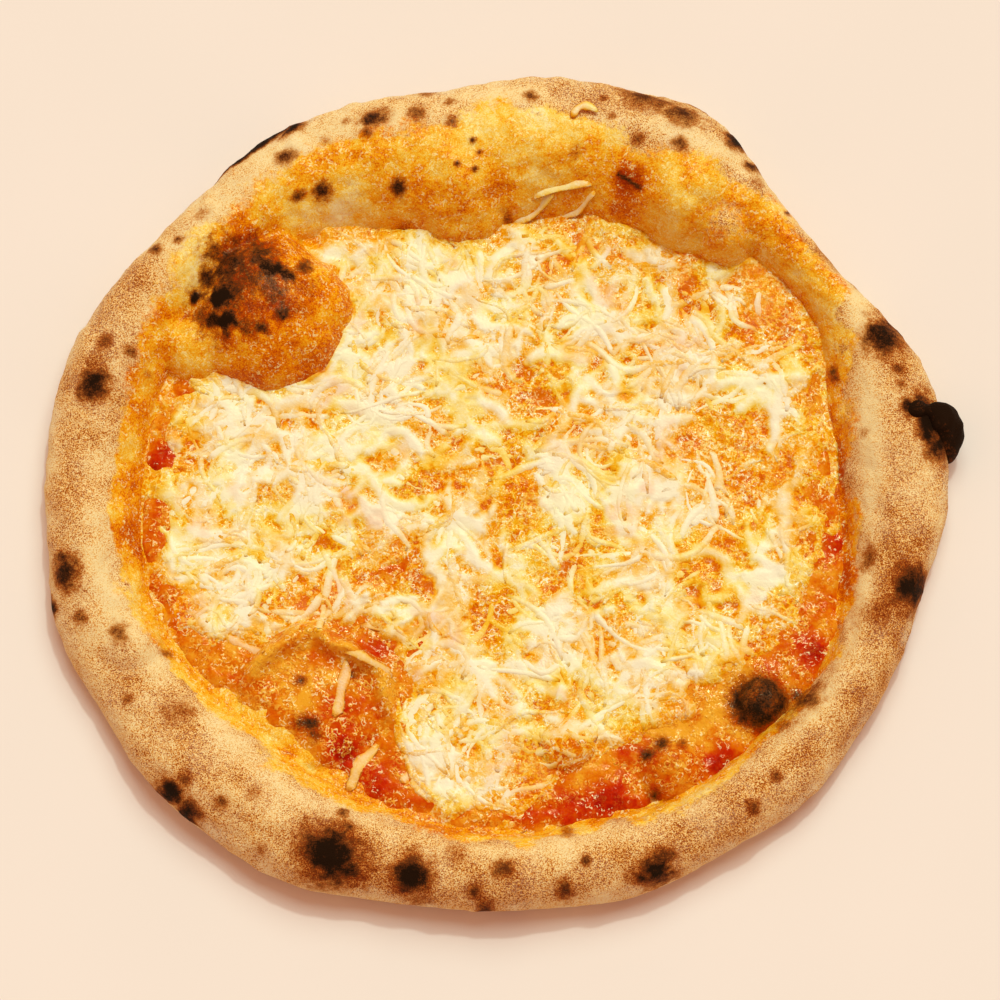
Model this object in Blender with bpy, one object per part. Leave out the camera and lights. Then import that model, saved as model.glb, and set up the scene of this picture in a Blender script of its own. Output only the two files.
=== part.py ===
"""A margherita pizza: a baked dough disc with a puffed rim, a thin layer of tomato sauce in its well,
and a sheet of melted, shredded mozzarella on the sauce.

Run with: blender --background --python part.py
Metres, +Z up. The origin is the middle of the dough's flat underside, and angles run anticlockwise
from +X. The three layers are lofts on one shared set of spokes and rings, so each layer's facets lie
parallel to those of the layer below it.
"""

import math

import bmesh
import bpy
import numpy as np

MM = 0.001

# ---------------------------------------------------------------- driving dimensions, millimetres

BASE_THICKNESS = 4.5
BASE_UNEVENNESS = 0.5
SAUCE_THICKNESS = 1.3
SAUCE_EDGE_THICKNESS = 0.5
CHEESE_THICKNESS = 2.4
CHEESE_EDGE_THICKNESS = 0.9
CHEESE_RELIEF = 0.8
LAYER_GAP = 0.35

# The rim was stretched by hand, so it is measured at one station every 15 degrees.
RIM_OUTER = (155, 154, 144, 141, 153, 151, 146, 146, 149, 147, 151, 155,
             156, 158, 157, 159, 157, 152, 150, 151, 152, 153, 151, 152)
RIM_FOOT = (119, 118, 125, 120, 106, 102, 95, 96, 108, 115, 119, 122,
            122, 125, 122, 118, 118, 120, 122, 122, 125, 125, 128, 124)
RIM_HEIGHT = (19, 20, 17, 18, 25, 24, 24, 23, 20, 19, 19, 19,
              18, 18, 18, 19, 20, 20, 20, 19, 19, 19, 19, 19)
SAUCE_EDGE = (117, 116, 123, 118, 104, 100, 93, 94, 105, 78, 80, 119,
              120, 123, 120, 116, 116, 118, 120, 120, 123, 123, 126, 122)
CHEESE_EDGE = (109, 114, 120, 114, 101, 97, 90, 91, 101, 74, 76, 110,
               110, 117, 111, 74, 80, 110, 115, 104, 101, 102, 113, 115)

# Small waves that the hands leave along the rim: (waves in a full turn, phase, size).
OUTLINE_WAVES = ((9, 1.0, 0.7), (16, 2.3, 0.5))
HEIGHT_WAVES = ((8, 0.4, 0.6), (13, 1.9, 0.5))

# The rim's section, as shares of the rim's width and height, and how far in it meets the table.
CONTACT_INSET = 8.0
WIDEST_HEIGHT_SHARE = 0.42
CREST_WIDTH_SHARE = 0.42
INNER_WALL_FULLNESS = 2.2

# Gas bubbles in the dough: (angle in degrees, distance from the middle, radius, height of the top).
TALL_BUBBLE = (141, 102, 29, 24.0)
BUBBLES = (
    TALL_BUBBLE,
    (153, 118, 15, 14.5),
    (230, 97, 24, 8.0),
    (285, 94, 9, 9.5),
    (301, 116, 10, 11.0),
    (320, 119, 9, 11.5),
    (58, 126, 23, 26.0),
    (49, 121, 12, 21.0),
    (97, 112, 21, 23.5),
    (205, 139, 12, 20.5),
)
BUBBLE_BLEND = 2.0

# The burnt blister on the outer edge, as balls: (angle, distance from the middle, height of centre, radius).
# Two make its long bulb and the third its small lobe.
BURNT_BLISTERS = ((8.4, 153.0, 12.8, 8.0), (5.2, 153.6, 12.0, 8.0), (10.2, 146.0, 16.5, 4.4))

# Facets.
SPOKES = 72
CHEESE_RINGS = 9
SAUCE_BORDER_RINGS = 2
DOUGH_BORDER_RINGS = 4
INNER_WALL_STEPS = 5
OUTER_UPPER_STEPS = 4
OUTER_LOWER_STEPS = 3


# ---------------------------------------------------------------- shape functions, millimetres


def around(stations, angle):
    """A smooth closed curve through evenly spaced stations (cyclic Catmull-Rom), read at an angle."""
    values = np.asarray(stations, float)
    place = angle / (2 * math.pi) * len(values)
    first = np.floor(place).astype(int)
    f = place - first
    before, start, end, after = (values[(first + k) % len(values)] for k in (-1, 0, 1, 2))
    return start + f / 2 * (
        end - before
        + f * (2 * before - 5 * start + 4 * end - after + f * (3 * (start - end) + after - before))
    )


def hand_waves(waves, angle):
    """The small unevenness of a hand-stretched rim, as a sum of sines round the pizza."""
    return sum(size * np.sin(count * angle + phase) for count, phase, size in waves)


def smooth_max(a, b, blend):
    """The larger of a and b, with a fillet of about the blend width where they meet."""
    share = np.clip(0.5 + (a - b) / (2 * blend), 0, 1)
    return b + (a - b) * share + blend * share * (1 - share)


def dough_unevenness(x, y):
    """Slow waves of the baked base, as a sum of three sines, from about -1 to 1."""
    return (np.sin(x / 17 + 0.6) * np.cos(y / 21 - 1.1) + np.sin((x + y) / 29 + 2.0)) / 2


def cheese_lumps(x, y):
    """Relief of shreds that have melted together, as crossed waves, from about -1 to 1."""
    across = np.sin(x / 4.1 + 1.7 * np.sin(y / 11.0))
    along = np.sin(y / 4.7 + 1.9 * np.sin(x / 13.0) + 0.8)
    slow = np.sin((x - 2 * y) / 23.0)
    return 0.4 * across + 0.35 * along + 0.25 * slow


def with_bubbles(x, y, z):
    """Raises the height z where a gas bubble stands higher, each as a low dome on the dough."""
    for degrees, distance, radius, top in BUBBLES:
        a = math.radians(degrees)
        off = np.hypot(x - distance * math.cos(a), y - distance * math.sin(a)) / radius
        dome = BASE_THICKNESS + (top - BASE_THICKNESS) * np.sqrt(np.clip(1 - off**2, 0, 1))
        raised = smooth_max(z, dome, BUBBLE_BLEND)
        z = np.where(off < 1, raised, z)
    return z


def rim_inner_wall(share, height):
    """Height of the wall from the rim's crest (share 0) down to its foot (share 1)."""
    return BASE_THICKNESS + (height - BASE_THICKNESS) * (1 - share**INNER_WALL_FULLNESS)


def dough_base(x, y):
    """Height of the dough under the toppings."""
    return with_bubbles(x, y, BASE_THICKNESS + BASE_UNEVENNESS * dough_unevenness(x, y))


# ---------------------------------------------------------------- rings shared by the layers

ANGLES = np.arange(SPOKES) * 2 * math.pi / SPOKES
COS, SIN = np.cos(ANGLES), np.sin(ANGLES)


def ring(radius, height):
    """One closed ring of points, from a radius and a height for each spoke, in metres."""
    return np.stack([radius * COS, radius * SIN, height + 0 * radius], axis=1) * MM


def well_radii():
    """Radii of the rings of the well, from the middle out: cheese, sauce border, bare dough."""
    cheese = around(CHEESE_EDGE, ANGLES)
    sauce = around(SAUCE_EDGE, ANGLES)
    foot = around(RIM_FOOT, ANGLES)
    radii = [cheese * (k / CHEESE_RINGS) ** 0.8 for k in range(1, CHEESE_RINGS + 1)]
    for inner, outer, count in ((cheese, sauce, SAUCE_BORDER_RINGS), (sauce, foot, DOUGH_BORDER_RINGS)):
        radii += [inner + (outer - inner) * k / count for k in range(1, count + 1)]
    return radii


def sauce_top(radius, share):
    """Height of the sauce's upper face, thinning towards its edge at share 1."""
    thickness = SAUCE_EDGE_THICKNESS + (SAUCE_THICKNESS - SAUCE_EDGE_THICKNESS) * (1 - share**6)
    return dough_base(radius * COS, radius * SIN) + LAYER_GAP + thickness


def cheese_top(radius, share):
    """Height of the cheese's upper face, with its lumps, thinning towards its edge at share 1."""
    inside = 1 - share**4
    thickness = CHEESE_EDGE_THICKNESS + (CHEESE_THICKNESS - CHEESE_EDGE_THICKNESS) * inside
    lumps = CHEESE_RELIEF * inside * cheese_lumps(radius * COS, radius * SIN)
    return thickness + lumps


# ---------------------------------------------------------------- building


def loft(name, rings, first_middle, last_middle):
    """A closed solid from rings of points, fanned to a middle point at each end.

    Each patch is cut from the outer ring's spoke s to the inner ring's spoke s + 1, whichever way the
    rings run, so two faces on the same rings have the same facets.
    """
    count = len(rings)
    points = np.concatenate([[first_middle], *rings, [last_middle]])
    reach = [np.hypot(r[:, 0], r[:, 1]).mean() for r in rings]
    faces = []
    for s in range(SPOKES):
        t = (s + 1) % SPOKES
        faces.append((0, 1 + t, 1 + s))
        for k in range(count - 1):
            a, b = 1 + k * SPOKES, 1 + (k + 1) * SPOKES
            if reach[k + 1] > reach[k]:
                faces.append((a + s, a + t, b + s))
                faces.append((a + t, b + t, b + s))
            else:
                faces.append((a + s, a + t, b + t))
                faces.append((a + s, b + t, b + s))
        last = 1 + (count - 1) * SPOKES
        faces.append((last + s, last + t, 1 + count * SPOKES))
    mesh = bpy.data.meshes.new(name)
    mesh.from_pydata(points.tolist(), [], faces)
    mesh.shade_smooth()
    return bpy.data.objects.new(name, mesh)


def middle(height):
    return np.array([0.0, 0.0, height * MM])


def make_dough():
    """The dough: flat underside, outer bulge, crest, inner wall and the well with its bubbles."""
    outer = around(RIM_OUTER, ANGLES) + hand_waves(OUTLINE_WAVES, ANGLES)
    foot = around(RIM_FOOT, ANGLES)
    height = around(RIM_HEIGHT, ANGLES) + hand_waves(HEIGHT_WAVES, ANGLES)
    widest = WIDEST_HEIGHT_SHARE * height
    crest = outer - CREST_WIDTH_SHARE * (outer - foot)
    contact = outer - CONTACT_INSET
    rings = [ring(contact, 0.0)]
    for k in range(1, OUTER_LOWER_STEPS + 1):
        turn = k / OUTER_LOWER_STEPS * math.pi / 2
        rings.append(ring(contact + CONTACT_INSET * math.sin(turn), widest * (1 - math.cos(turn))))
    for k in range(1, OUTER_UPPER_STEPS + 1):
        turn = k / OUTER_UPPER_STEPS * math.pi / 2
        radius = crest + (outer - crest) * math.cos(turn)
        z = widest + (height - widest) * math.sin(turn)
        rings.append(ring(radius, np.maximum(z, with_bubbles(radius * COS, radius * SIN, z))))
    for k in range(1, INNER_WALL_STEPS):
        share = k / INNER_WALL_STEPS
        radius = crest + (foot - crest) * share
        z = rim_inner_wall(share, height)
        rings.append(ring(radius, with_bubbles(radius * COS, radius * SIN, z)))
    for radius in reversed(well_radii()):
        rings.append(ring(radius, dough_base(radius * COS, radius * SIN)))
    return loft("dough", rings, middle(0.0), middle(float(dough_base(0.0, 0.0))))


def make_layer(name, radii, under, upper):
    """A thin layer: the under face's rings from the middle out, then the upper face's rings back in."""
    lower_rings = [ring(r, z) for r, z in zip(radii, under)]
    upper_rings = [ring(r, z) for r, z in zip(radii, upper)]
    rings = lower_rings + upper_rings[::-1]
    centre_under, centre_upper = under[0].mean(), upper[0].mean()
    return loft(name, rings, middle(centre_under), middle(centre_upper))


def make_sauce():
    count = CHEESE_RINGS + SAUCE_BORDER_RINGS
    radii = well_radii()[:count]
    under = [dough_base(r * COS, r * SIN) + LAYER_GAP for r in radii]
    upper = [sauce_top(r, (k + 1) / count) for k, r in enumerate(radii)]
    return make_layer("tomato_sauce", radii, under, upper)


def make_cheese():
    count = CHEESE_RINGS + SAUCE_BORDER_RINGS
    radii = well_radii()[:CHEESE_RINGS]
    under = [sauce_top(r, (k + 1) / count) + LAYER_GAP for k, r in enumerate(radii)]
    upper = [z + cheese_top(r, (k + 1) / CHEESE_RINGS) for k, (r, z) in enumerate(zip(radii, under))]
    return make_layer("mozzarella", radii, under, upper)


def make_blister(number, degrees, distance, height, radius):
    """One burnt blister as a ball, to be joined to the dough."""
    a = math.radians(degrees)
    bm = bmesh.new()
    bmesh.ops.create_uvsphere(bm, u_segments=16, v_segments=10, radius=radius * MM)
    place = (distance * math.cos(a) * MM, distance * math.sin(a) * MM, height * MM)
    bmesh.ops.translate(bm, verts=bm.verts, vec=place)
    mesh = bpy.data.meshes.new(f"blister_{number}")
    bm.to_mesh(mesh)
    bm.free()
    blister = bpy.data.objects.new(f"blister_{number}", mesh)
    blister.hide_render = True
    blister.display_type = "WIRE"
    return blister


def join(target, tool):
    union = target.modifiers.new(f"join {tool.name}", "BOOLEAN")
    union.operation = "UNION"
    union.object = tool


def finish_of(name, colour, roughness):
    material = bpy.data.materials.new(name)
    material.use_nodes = True
    shader = material.node_tree.nodes["Principled BSDF"]
    shader.inputs["Base Color"].default_value = (*colour, 1.0)
    shader.inputs["Roughness"].default_value = roughness
    shader.inputs["Metallic"].default_value = 0.0
    return material


def new_collection(name):
    collection = bpy.data.collections.new(name)
    bpy.context.scene.collection.children.link(collection)
    return collection


def main():
    for old in list(bpy.data.objects):
        bpy.data.objects.remove(old)
    pizza = new_collection("margherita_pizza")
    tools = new_collection("joined_shapes")
    dough, sauce, cheese = make_dough(), make_sauce(), make_cheese()
    dough.data.materials.append(finish_of("baked_dough", (0.74, 0.36, 0.12), 0.85))
    sauce.data.materials.append(finish_of("tomato_sauce", (0.55, 0.06, 0.01), 0.3))
    cheese.data.materials.append(finish_of("melted_mozzarella", (0.95, 0.68, 0.30), 0.35))
    for layer in (dough, sauce, cheese):
        pizza.objects.link(layer)
    for number, (degrees, distance, height, radius) in enumerate(BURNT_BLISTERS, 1):
        blister = make_blister(number, degrees, distance, height, radius)
        tools.objects.link(blister)
        join(dough, blister)


main()
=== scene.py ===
# %% [markdown]
# # A margherita pizza, made piece by piece
# The pizza is a baked dough disc with a puffed rim, a skin of tomato sauce in its well, and melted,
# shredded mozzarella on the sauce. The solid model gives the sizes. Here each layer is made again as a
# fine surface with its own look: floury toasted crust, oily amber wall, wet sauce, molten cheese and the
# shreds that lie on it.

import math

import bpy
import numpy as np
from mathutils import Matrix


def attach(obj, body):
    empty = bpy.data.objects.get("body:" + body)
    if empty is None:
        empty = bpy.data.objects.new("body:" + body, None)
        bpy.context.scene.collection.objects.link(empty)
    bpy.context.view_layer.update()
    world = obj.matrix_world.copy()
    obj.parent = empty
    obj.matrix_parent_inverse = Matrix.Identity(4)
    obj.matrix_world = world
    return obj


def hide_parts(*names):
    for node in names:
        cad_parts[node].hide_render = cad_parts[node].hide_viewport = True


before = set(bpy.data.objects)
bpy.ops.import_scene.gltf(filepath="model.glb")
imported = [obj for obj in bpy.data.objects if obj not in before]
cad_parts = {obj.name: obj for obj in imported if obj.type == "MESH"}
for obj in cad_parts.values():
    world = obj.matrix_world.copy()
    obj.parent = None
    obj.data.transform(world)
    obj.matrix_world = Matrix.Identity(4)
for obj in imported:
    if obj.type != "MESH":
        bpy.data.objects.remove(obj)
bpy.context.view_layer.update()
MM = 0.001

# %% [markdown]
# ## Camera, floor and light
# The pizza is seen from well above, through a long lens, so its outline hardly narrows towards the back.
# One large soft lamp stands behind the pizza and a little to the right. The room's own light is warm, so
# shade turns reddish. A floor the colour of pale paper catches the soft shadow.

# %% Camera
CAMERA_ELEVATION = math.radians(74)
CAMERA_DISTANCE = 3.0
VIEW_WIDTH = 0.3456
CAMERA_TARGET = np.array([0.0010, -0.0022, 0.0])
SENSOR_WIDTH = 36.0

scene = bpy.context.scene
camera_data = bpy.data.cameras.new("long lens")
camera_data.sensor_width = SENSOR_WIDTH
camera_data.lens = SENSOR_WIDTH * CAMERA_DISTANCE / VIEW_WIDTH
camera_data.clip_end = 100.0
camera = bpy.data.objects.new("camera", camera_data)
scene.collection.objects.link(camera)
scene.camera = camera
backwards = np.array([0.0, -math.cos(CAMERA_ELEVATION), math.sin(CAMERA_ELEVATION)])
camera.location = CAMERA_TARGET + CAMERA_DISTANCE * backwards
camera.rotation_euler = (math.pi / 2 - CAMERA_ELEVATION, 0.0, 0.0)
scene.view_settings.view_transform = "Standard"
print("lens, mm:", round(camera_data.lens, 1))

# %% Colours are given as they look on a screen, from 0 to 255
def colour(red, green, blue):
    """Linear light for a screen colour: c / 12.92 in the deep shades, ((c + 0.055) / 1.055) ** 2.4 above."""
    screen = np.array([red, green, blue]) / 255
    light = np.where(screen <= 0.04045, screen / 12.92, ((screen + 0.055) / 1.055) ** 2.4)
    return (*light.tolist(), 1.0)

# %% Node helpers
def add(tree, kind, settings=None, **inputs):
    """Adds a shader node. Settings are its properties; an input is a plain value or another node's output."""
    made = tree.nodes.new(kind)
    for name, value in (settings or {}).items():
        setattr(made, name, value)
    for name, value in inputs.items():
        plug(made.inputs[name.replace("_", " ")], value)
    return made


def plug(socket, value):
    """Gives an input a plain value, or links it to another node's output."""
    value = getattr(value, "socket", value)
    if isinstance(value, bpy.types.NodeSocket):
        socket.id_data.links.new(value, socket)
    else:
        socket.default_value = value


def calculate(operation, *values):
    """One Math node on one or two numbers, such as MAXIMUM."""
    tree = next(value.socket.id_data for value in values if isinstance(value, Number))
    made = add(tree, "ShaderNodeMath", {"operation": operation})
    for socket, value in zip(made.inputs, values):
        plug(socket, value)
    return Number(made.outputs[0])


class Number:
    """A node's output as a number: +, -, *, / and abs each add a Math node, so a sum is written as a sum."""

    def __init__(self, socket):
        self.socket = socket

    def __add__(self, other):
        return calculate("ADD", self, other)

    def __sub__(self, other):
        return calculate("SUBTRACT", self, other)

    def __rsub__(self, other):
        return calculate("SUBTRACT", other, self)

    def __mul__(self, other):
        return calculate("MULTIPLY", self, other)

    def __truediv__(self, other):
        return calculate("DIVIDE", self, other)

    def __abs__(self):
        return calculate("ABSOLUTE", self)

    __radd__ = __add__
    __rmul__ = __mul__


def blend_colours(share, first, second, way="MIX"):
    """The first colour where share is 0, the second (or their product, for MULTIPLY) where it is 1."""
    made = add(share.socket.id_data, "ShaderNodeMix", {"data_type": "RGBA", "blend_type": way})
    for place, value in ((0, share), (6, first), (7, second)):
        plug(made.inputs[place], value)
    return made.outputs[2]


def step_between(value, low, high, start=0.0, end=1.0):
    """A smooth step: start where value is under low, end where it is over high."""
    made = add(value.socket.id_data, "ShaderNodeMapRange", {"interpolation_type": "SMOOTHSTEP"},
               Value=value, From_Min=low, From_Max=high, To_Min=start, To_Max=end)
    return Number(made.outputs[0])


def ramp(value, *stops):
    """A row of screen colours, each (place from 0 to 1, red, green, blue)."""
    made = add(value.socket.id_data, "ShaderNodeValToRGB", Fac=value)
    elements = made.color_ramp.elements
    while len(elements) < len(stops):
        elements.new(0.5)
    for element, (place, *shade) in zip(elements, stops):
        element.position = place
        element.color = colour(*shade)
    return made.outputs[0]


def noise(tree, size_mm, detail=1.0, roughness=0.5):
    """Cloudy noise whose lumps are about size_mm across, from 0 to 1 round 0.5."""
    place = add(tree, "ShaderNodeTexCoord").outputs["Object"]
    made = add(tree, "ShaderNodeTexNoise", Vector=place, Scale=1 / (size_mm * MM), Detail=detail,
               Roughness=roughness)
    return Number(made.outputs[0])


def unevenness(tree, *parts, roughness=0.5):
    """A sum of noises round 0, each (size in mm, share): share * (noise - 0.5)."""
    return sum(share * (noise(tree, size_mm, 1.0, roughness) - 0.5) for size_mm, share in parts)


def attribute(tree, name):
    """A mark of the piece, as a number."""
    return Number(add(tree, "ShaderNodeAttribute", {"attribute_name": name}).outputs["Fac"])


def new_material(name, **uniform):
    """A Principled material; uniform values sit on the shader's own sockets."""
    material = bpy.data.materials.new(name)
    material.use_nodes = True
    shader = material.node_tree.nodes["Principled BSDF"]
    for key, value in uniform.items():
        shader.inputs[key.replace("_", " ")].default_value = value
    return material, material.node_tree, shader


def finish_shader(shader, base, roughness, height, depth_mm, strength):
    """Links colour and roughness, and turns a height from 0 to 1 into a bump depth_mm deep."""
    plug(shader.inputs["Base Color"], base)
    plug(shader.inputs["Roughness"], roughness)
    bump = add(shader.id_data, "ShaderNodeBump", Height=height, Distance=depth_mm * MM, Strength=strength)
    plug(shader.inputs["Normal"], bump.outputs[0])

# %% Floor
FLOOR_HALF = 15.0
floor_mesh = bpy.data.meshes.new("floor")
corners = [(x * FLOOR_HALF, y * FLOOR_HALF, 0) for x, y in ((-1, -1), (1, -1), (1, 1), (-1, 1))]
floor_mesh.from_pydata(corners, [], [(0, 1, 2, 3)])
floor = bpy.data.objects.new("floor", floor_mesh)
scene.collection.objects.link(floor)
floor_material, tree, shader = new_material("pale paper", Specular_IOR_Level=0.1, Roughness=0.95)
paper = blend_colours(noise(tree, 60.0, 0.0), colour(234, 216, 198), colour(237, 218, 200))
plug(shader.inputs["Base Color"], paper)
floor_mesh.materials.append(floor_material)
print("floor, metres across:", 2 * FLOOR_HALF)

# %% Light
LAMP_ELEVATION = math.radians(58)
LAMP_TURN = math.radians(18)
LAMP_COLOUR = (0.66, 0.92, 0.96)
# A wide lamp gives the light. A narrow one in the same place gives the small glints on wet places, which
# the wide one, kept out of reflections, would only haze over.
for lamp_name, energy, width_deg in (("wide lamp", 2.2, 46), ("narrow lamp", 0.85, 3)):
    lamp_data = bpy.data.lights.new(lamp_name, "SUN")
    lamp_data.energy = energy
    lamp_data.color = LAMP_COLOUR
    lamp_data.angle = math.radians(width_deg)
    lamp = bpy.data.objects.new(lamp_name, lamp_data)
    lamp.rotation_euler = (-(math.pi / 2 - LAMP_ELEVATION), 0.0, -LAMP_TURN)
    lamp.visible_glossy = lamp_name == "narrow lamp"
    scene.collection.objects.link(lamp)

# The room lights the pizza with one warm colour, shows another behind it, and is dim in reflections.
ROOM_LIGHT = (0.60, 0.355, 0.275, 1.0)
ROOM_REFLECTED = (0.25, 0.14, 0.06, 1.0)
world = bpy.data.worlds.new("warm room")
world.use_nodes = True
scene.world = world
tree = world.node_tree
shown = tree.nodes["Background"]
shown.inputs["Color"].default_value = ROOM_LIGHT
ray = add(tree, "ShaderNodeLightPath")
for kind_of_ray, room_colour in (("Is Camera Ray", colour(250, 229, 208)), ("Is Glossy Ray", ROOM_REFLECTED)):
    choice = add(tree, "ShaderNodeMixShader", Fac=ray.outputs[kind_of_ray])
    plug(choice.inputs[1], shown.outputs[0])
    plug(choice.inputs[2], add(tree, "ShaderNodeBackground", Color=room_colour).outputs[0])
    shown = choice
plug(tree.nodes["World Output"].inputs[0], shown.outputs[0])
print("lamps stand", round(math.degrees(LAMP_ELEVATION)), "degrees above the floor")

# %% [markdown]
# ## Fields: the unevenness of baked food
# Baked food is never regular. Two kinds of helper give it its unevenness. One is value noise: a random
# number at each corner of a lattice, blended between the corners. The other is a smooth closed curve
# through numbers measured every 15 degrees round the pizza. Both work on whole arrays.

# %% Noise, curves and steps for arrays, all in millimetres
# The lattice of the noise: how many numbers it holds, what picks one for a corner, and how far each
# octave's lattice is shifted.
LATTICE_NUMBERS = 4096
LATTICE_PRIMES = np.array([73856093, 19349663, 83492791])
OCTAVE_SHIFT = 11.3


def lumps(points, size, seed, octaves=1):
    """Value noise, about -1 to 1: lattice numbers blended by the smooth step, each octave half the size."""
    table = np.random.default_rng(seed).uniform(-1, 1, LATTICE_NUMBERS)
    total = np.zeros(points.shape[:-1])
    for octave in range(octaves):
        place = points * (2**octave / size) + OCTAVE_SHIFT * octave
        low = np.floor(place).astype(np.int64)
        share = place - low
        share = share * share * (3 - 2 * share)
        for corner in range(2 ** points.shape[-1]):
            step = np.array([corner >> axis & 1 for axis in range(points.shape[-1])])
            weight = np.prod(np.where(step, share, 1 - share), axis=-1)
            chosen = ((low + step) @ LATTICE_PRIMES[:points.shape[-1]]) % LATTICE_NUMBERS
            total += weight * table[chosen] / 2**octave
    return total


def flat_lumps(x, y, size, seed, octaves=1):
    """The same noise on a flat place."""
    return lumps(np.stack([x, y], -1), size, seed, octaves)


def around(stations, angle):
    """A smooth closed curve through evenly spaced stations (cyclic Catmull-Rom), read at an angle."""
    values = np.asarray(stations, float)
    place = angle / (2 * math.pi) * len(values)
    first = np.floor(place).astype(int)
    f = place - first
    before, start, end, after = (values[(first + k) % len(values)] for k in (-1, 0, 1, 2))
    return start + f / 2 * (
        end - before
        + f * (2 * before - 5 * start + 4 * end - after + f * (3 * (start - end) + after - before))
    )


def edge_towards(stations, x, y):
    """The same curve, read in the direction of a place."""
    return around(stations, np.arctan2(y, x))


def smooth_step(low, high, value):
    """0 under low, 1 over high, and s * s * (3 - 2 s) between them."""
    share = np.clip((value - low) / (high - low), 0, 1)
    return share * share * (3 - 2 * share)


def smooth_max(a, b, blend):
    """The larger of a and b, with a fillet of about the blend width where they meet."""
    share = np.clip(0.5 + (a - b) / (2 * blend), 0, 1)
    return b + (a - b) * share + blend * share * (1 - share)


def polar(degrees, distance):
    """The x and y of a place given by its angle from +X and its distance from the middle."""
    turn = np.radians(degrees)
    return distance * np.cos(turn), distance * np.sin(turn)


def patch(x, y, middle_x, middle_y, reach_mm, strength):
    """One soft round patch: strength * exp(-(distance / reach) ** 2)."""
    return strength * np.exp(-((x - middle_x) ** 2 + (y - middle_y) ** 2) / reach_mm**2)


def patches(x, y, places):
    """A sum of soft patches, each (angle, distance, radius, strength)."""
    return sum(patch(x, y, *polar(degrees, distance), *rest) for degrees, distance, *rest in places)


def largest_patch(x, y, places):
    """The largest of soft patches, each (x, y, radius, strength)."""
    total = np.zeros(np.shape(x))
    for place in places:
        total = np.maximum(total, patch(x, y, *place))
    return total

# %% Meshes from arrays
def make_piece(name, points, faces, material, slot_name, **marks):
    """A mesh from points in millimetres. Each mark is one number per point, which its material reads."""
    mesh = bpy.data.meshes.new(name)
    mesh.from_pydata((points.reshape(-1, 3) * MM).tolist(), [], faces)
    mesh.shade_smooth()
    for mark, values in marks.items():
        layer = mesh.attributes.new(mark, "FLOAT", "POINT")
        layer.data.foreach_set("value", np.asarray(values, np.float32).ravel())
    mesh.materials.append(material)
    piece = bpy.data.objects.new(name, mesh)
    scene.collection.objects.link(piece)
    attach(piece, "root")
    triangles = sum(len(face) - 2 for face in faces)
    print(name, "has", triangles, "triangles")
    return piece


def shell_faces(rings, spokes):
    """Faces of a closed shell of rings from a lower pole, out, over and back in to an upper pole.

    The lower pole is point 0, ring r spoke s is 1 + r * spokes + s, and the upper pole comes last.
    """
    spoke = np.arange(spokes)
    beside = (spoke + 1) % spokes
    first = 1 + np.arange(rings - 1)[:, None] * spokes
    quads = np.stack([first + spoke, first + beside, first + beside + spokes, first + spoke + spokes], -1)
    last = 1 + (rings - 1) * spokes
    lower = np.stack([0 * spoke, 1 + beside, 1 + spoke], -1)
    upper = np.stack([last + spoke, last + beside, 0 * spoke + last + spokes], -1)
    return lower.tolist() + quads.reshape(-1, 4).tolist() + upper.tolist()


def shell_points(rings):
    """All the rings' points, with a pole at the average of the first ring and one at that of the last."""
    flat = rings.reshape(-1, rings.shape[-1])
    return np.concatenate([rings[0].mean(0)[None], flat, rings[-1].mean(0)[None]])


def shell_marks(**marks):
    """Marks given on the rings of a shell, with a value for each pole."""
    return {mark: shell_points(values[..., None])[:, 0] for mark, values in marks.items()}


def ring_normals(rings):
    """Unit normals of a grid of rings: the step along the ring crossed with the step to the next ring."""
    along = np.roll(rings, -1, axis=1) - np.roll(rings, 1, axis=1)
    onward = np.gradient(rings, axis=0)
    normal = np.cross(along, onward)
    return normal / np.maximum(np.linalg.norm(normal, axis=-1, keepdims=True), 1e-9)

# %% [markdown]
# ## The dough
# A baker stretches the dough by hand, so the rim's width, height and foot wander round the pizza. The
# numbers are the solid model's. The section runs out along the flat underside, up the outer bulge, over
# the crest, down the inner wall and back across the well. Gas bubbles lift the surface as low domes.

# %% The rim's numbers, one station every 15 degrees, in millimetres
RIM_OUTER = (155, 154, 144, 141, 153, 151, 146, 146, 149, 147, 151, 155,
             156, 158, 157, 159, 157, 152, 150, 151, 152, 153, 151, 152)
RIM_FOOT = (119, 118, 125, 120, 106, 102, 95, 96, 108, 115, 119, 122,
            122, 125, 122, 118, 118, 120, 122, 122, 125, 125, 128, 124)
RIM_HEIGHT = (19, 20, 17, 18, 25, 24, 24, 23, 20, 19, 19, 19,
              18, 18, 18, 19, 20, 20, 20, 19, 19, 19, 19, 19)
# The sauce and the cheese run on out of sight under the tall bubble.
SAUCE_EDGE = (116, 116, 124, 118, 104, 99, 93, 94, 104, 111, 117, 121,
              121, 124, 121, 114, 114, 118, 121, 122, 126, 127, 129, 123)
CHEESE_EDGE = (111, 114, 124, 120, 107, 102, 96, 97, 108, 112, 114, 117,
               118, 120, 112, 72, 70, 108, 117, 105, 101, 103, 114, 114)
BASE_THICKNESS = 4.5
CONTACT_INSET = 8.0
WIDEST_HEIGHT_SHARE = 0.42
CREST_WIDTH_SHARE = 0.42
INNER_WALL_FULLNESS = 2.2

# Gas bubbles: (angle, distance from the middle, radius, height of the top).
TALL_BUBBLE = (141, 102, 29, 24.0)
BUBBLES = (TALL_BUBBLE, (153, 118, 15, 14.5), (230, 97, 24, 8.0), (285, 94, 9, 9.5), (301, 116, 10, 11.0),
           (320, 119, 9, 11.5), (58, 126, 23, 26.0), (49, 121, 12, 21.0), (97, 112, 21, 23.5),
           (205, 139, 12, 20.5))
# The toppings cover the bubbles whose top is no higher than this.
LOW_BUBBLE_TOP = 12.0
BUBBLE_BLEND = 4.0
BUBBLE_FULLNESS = 0.72


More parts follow.
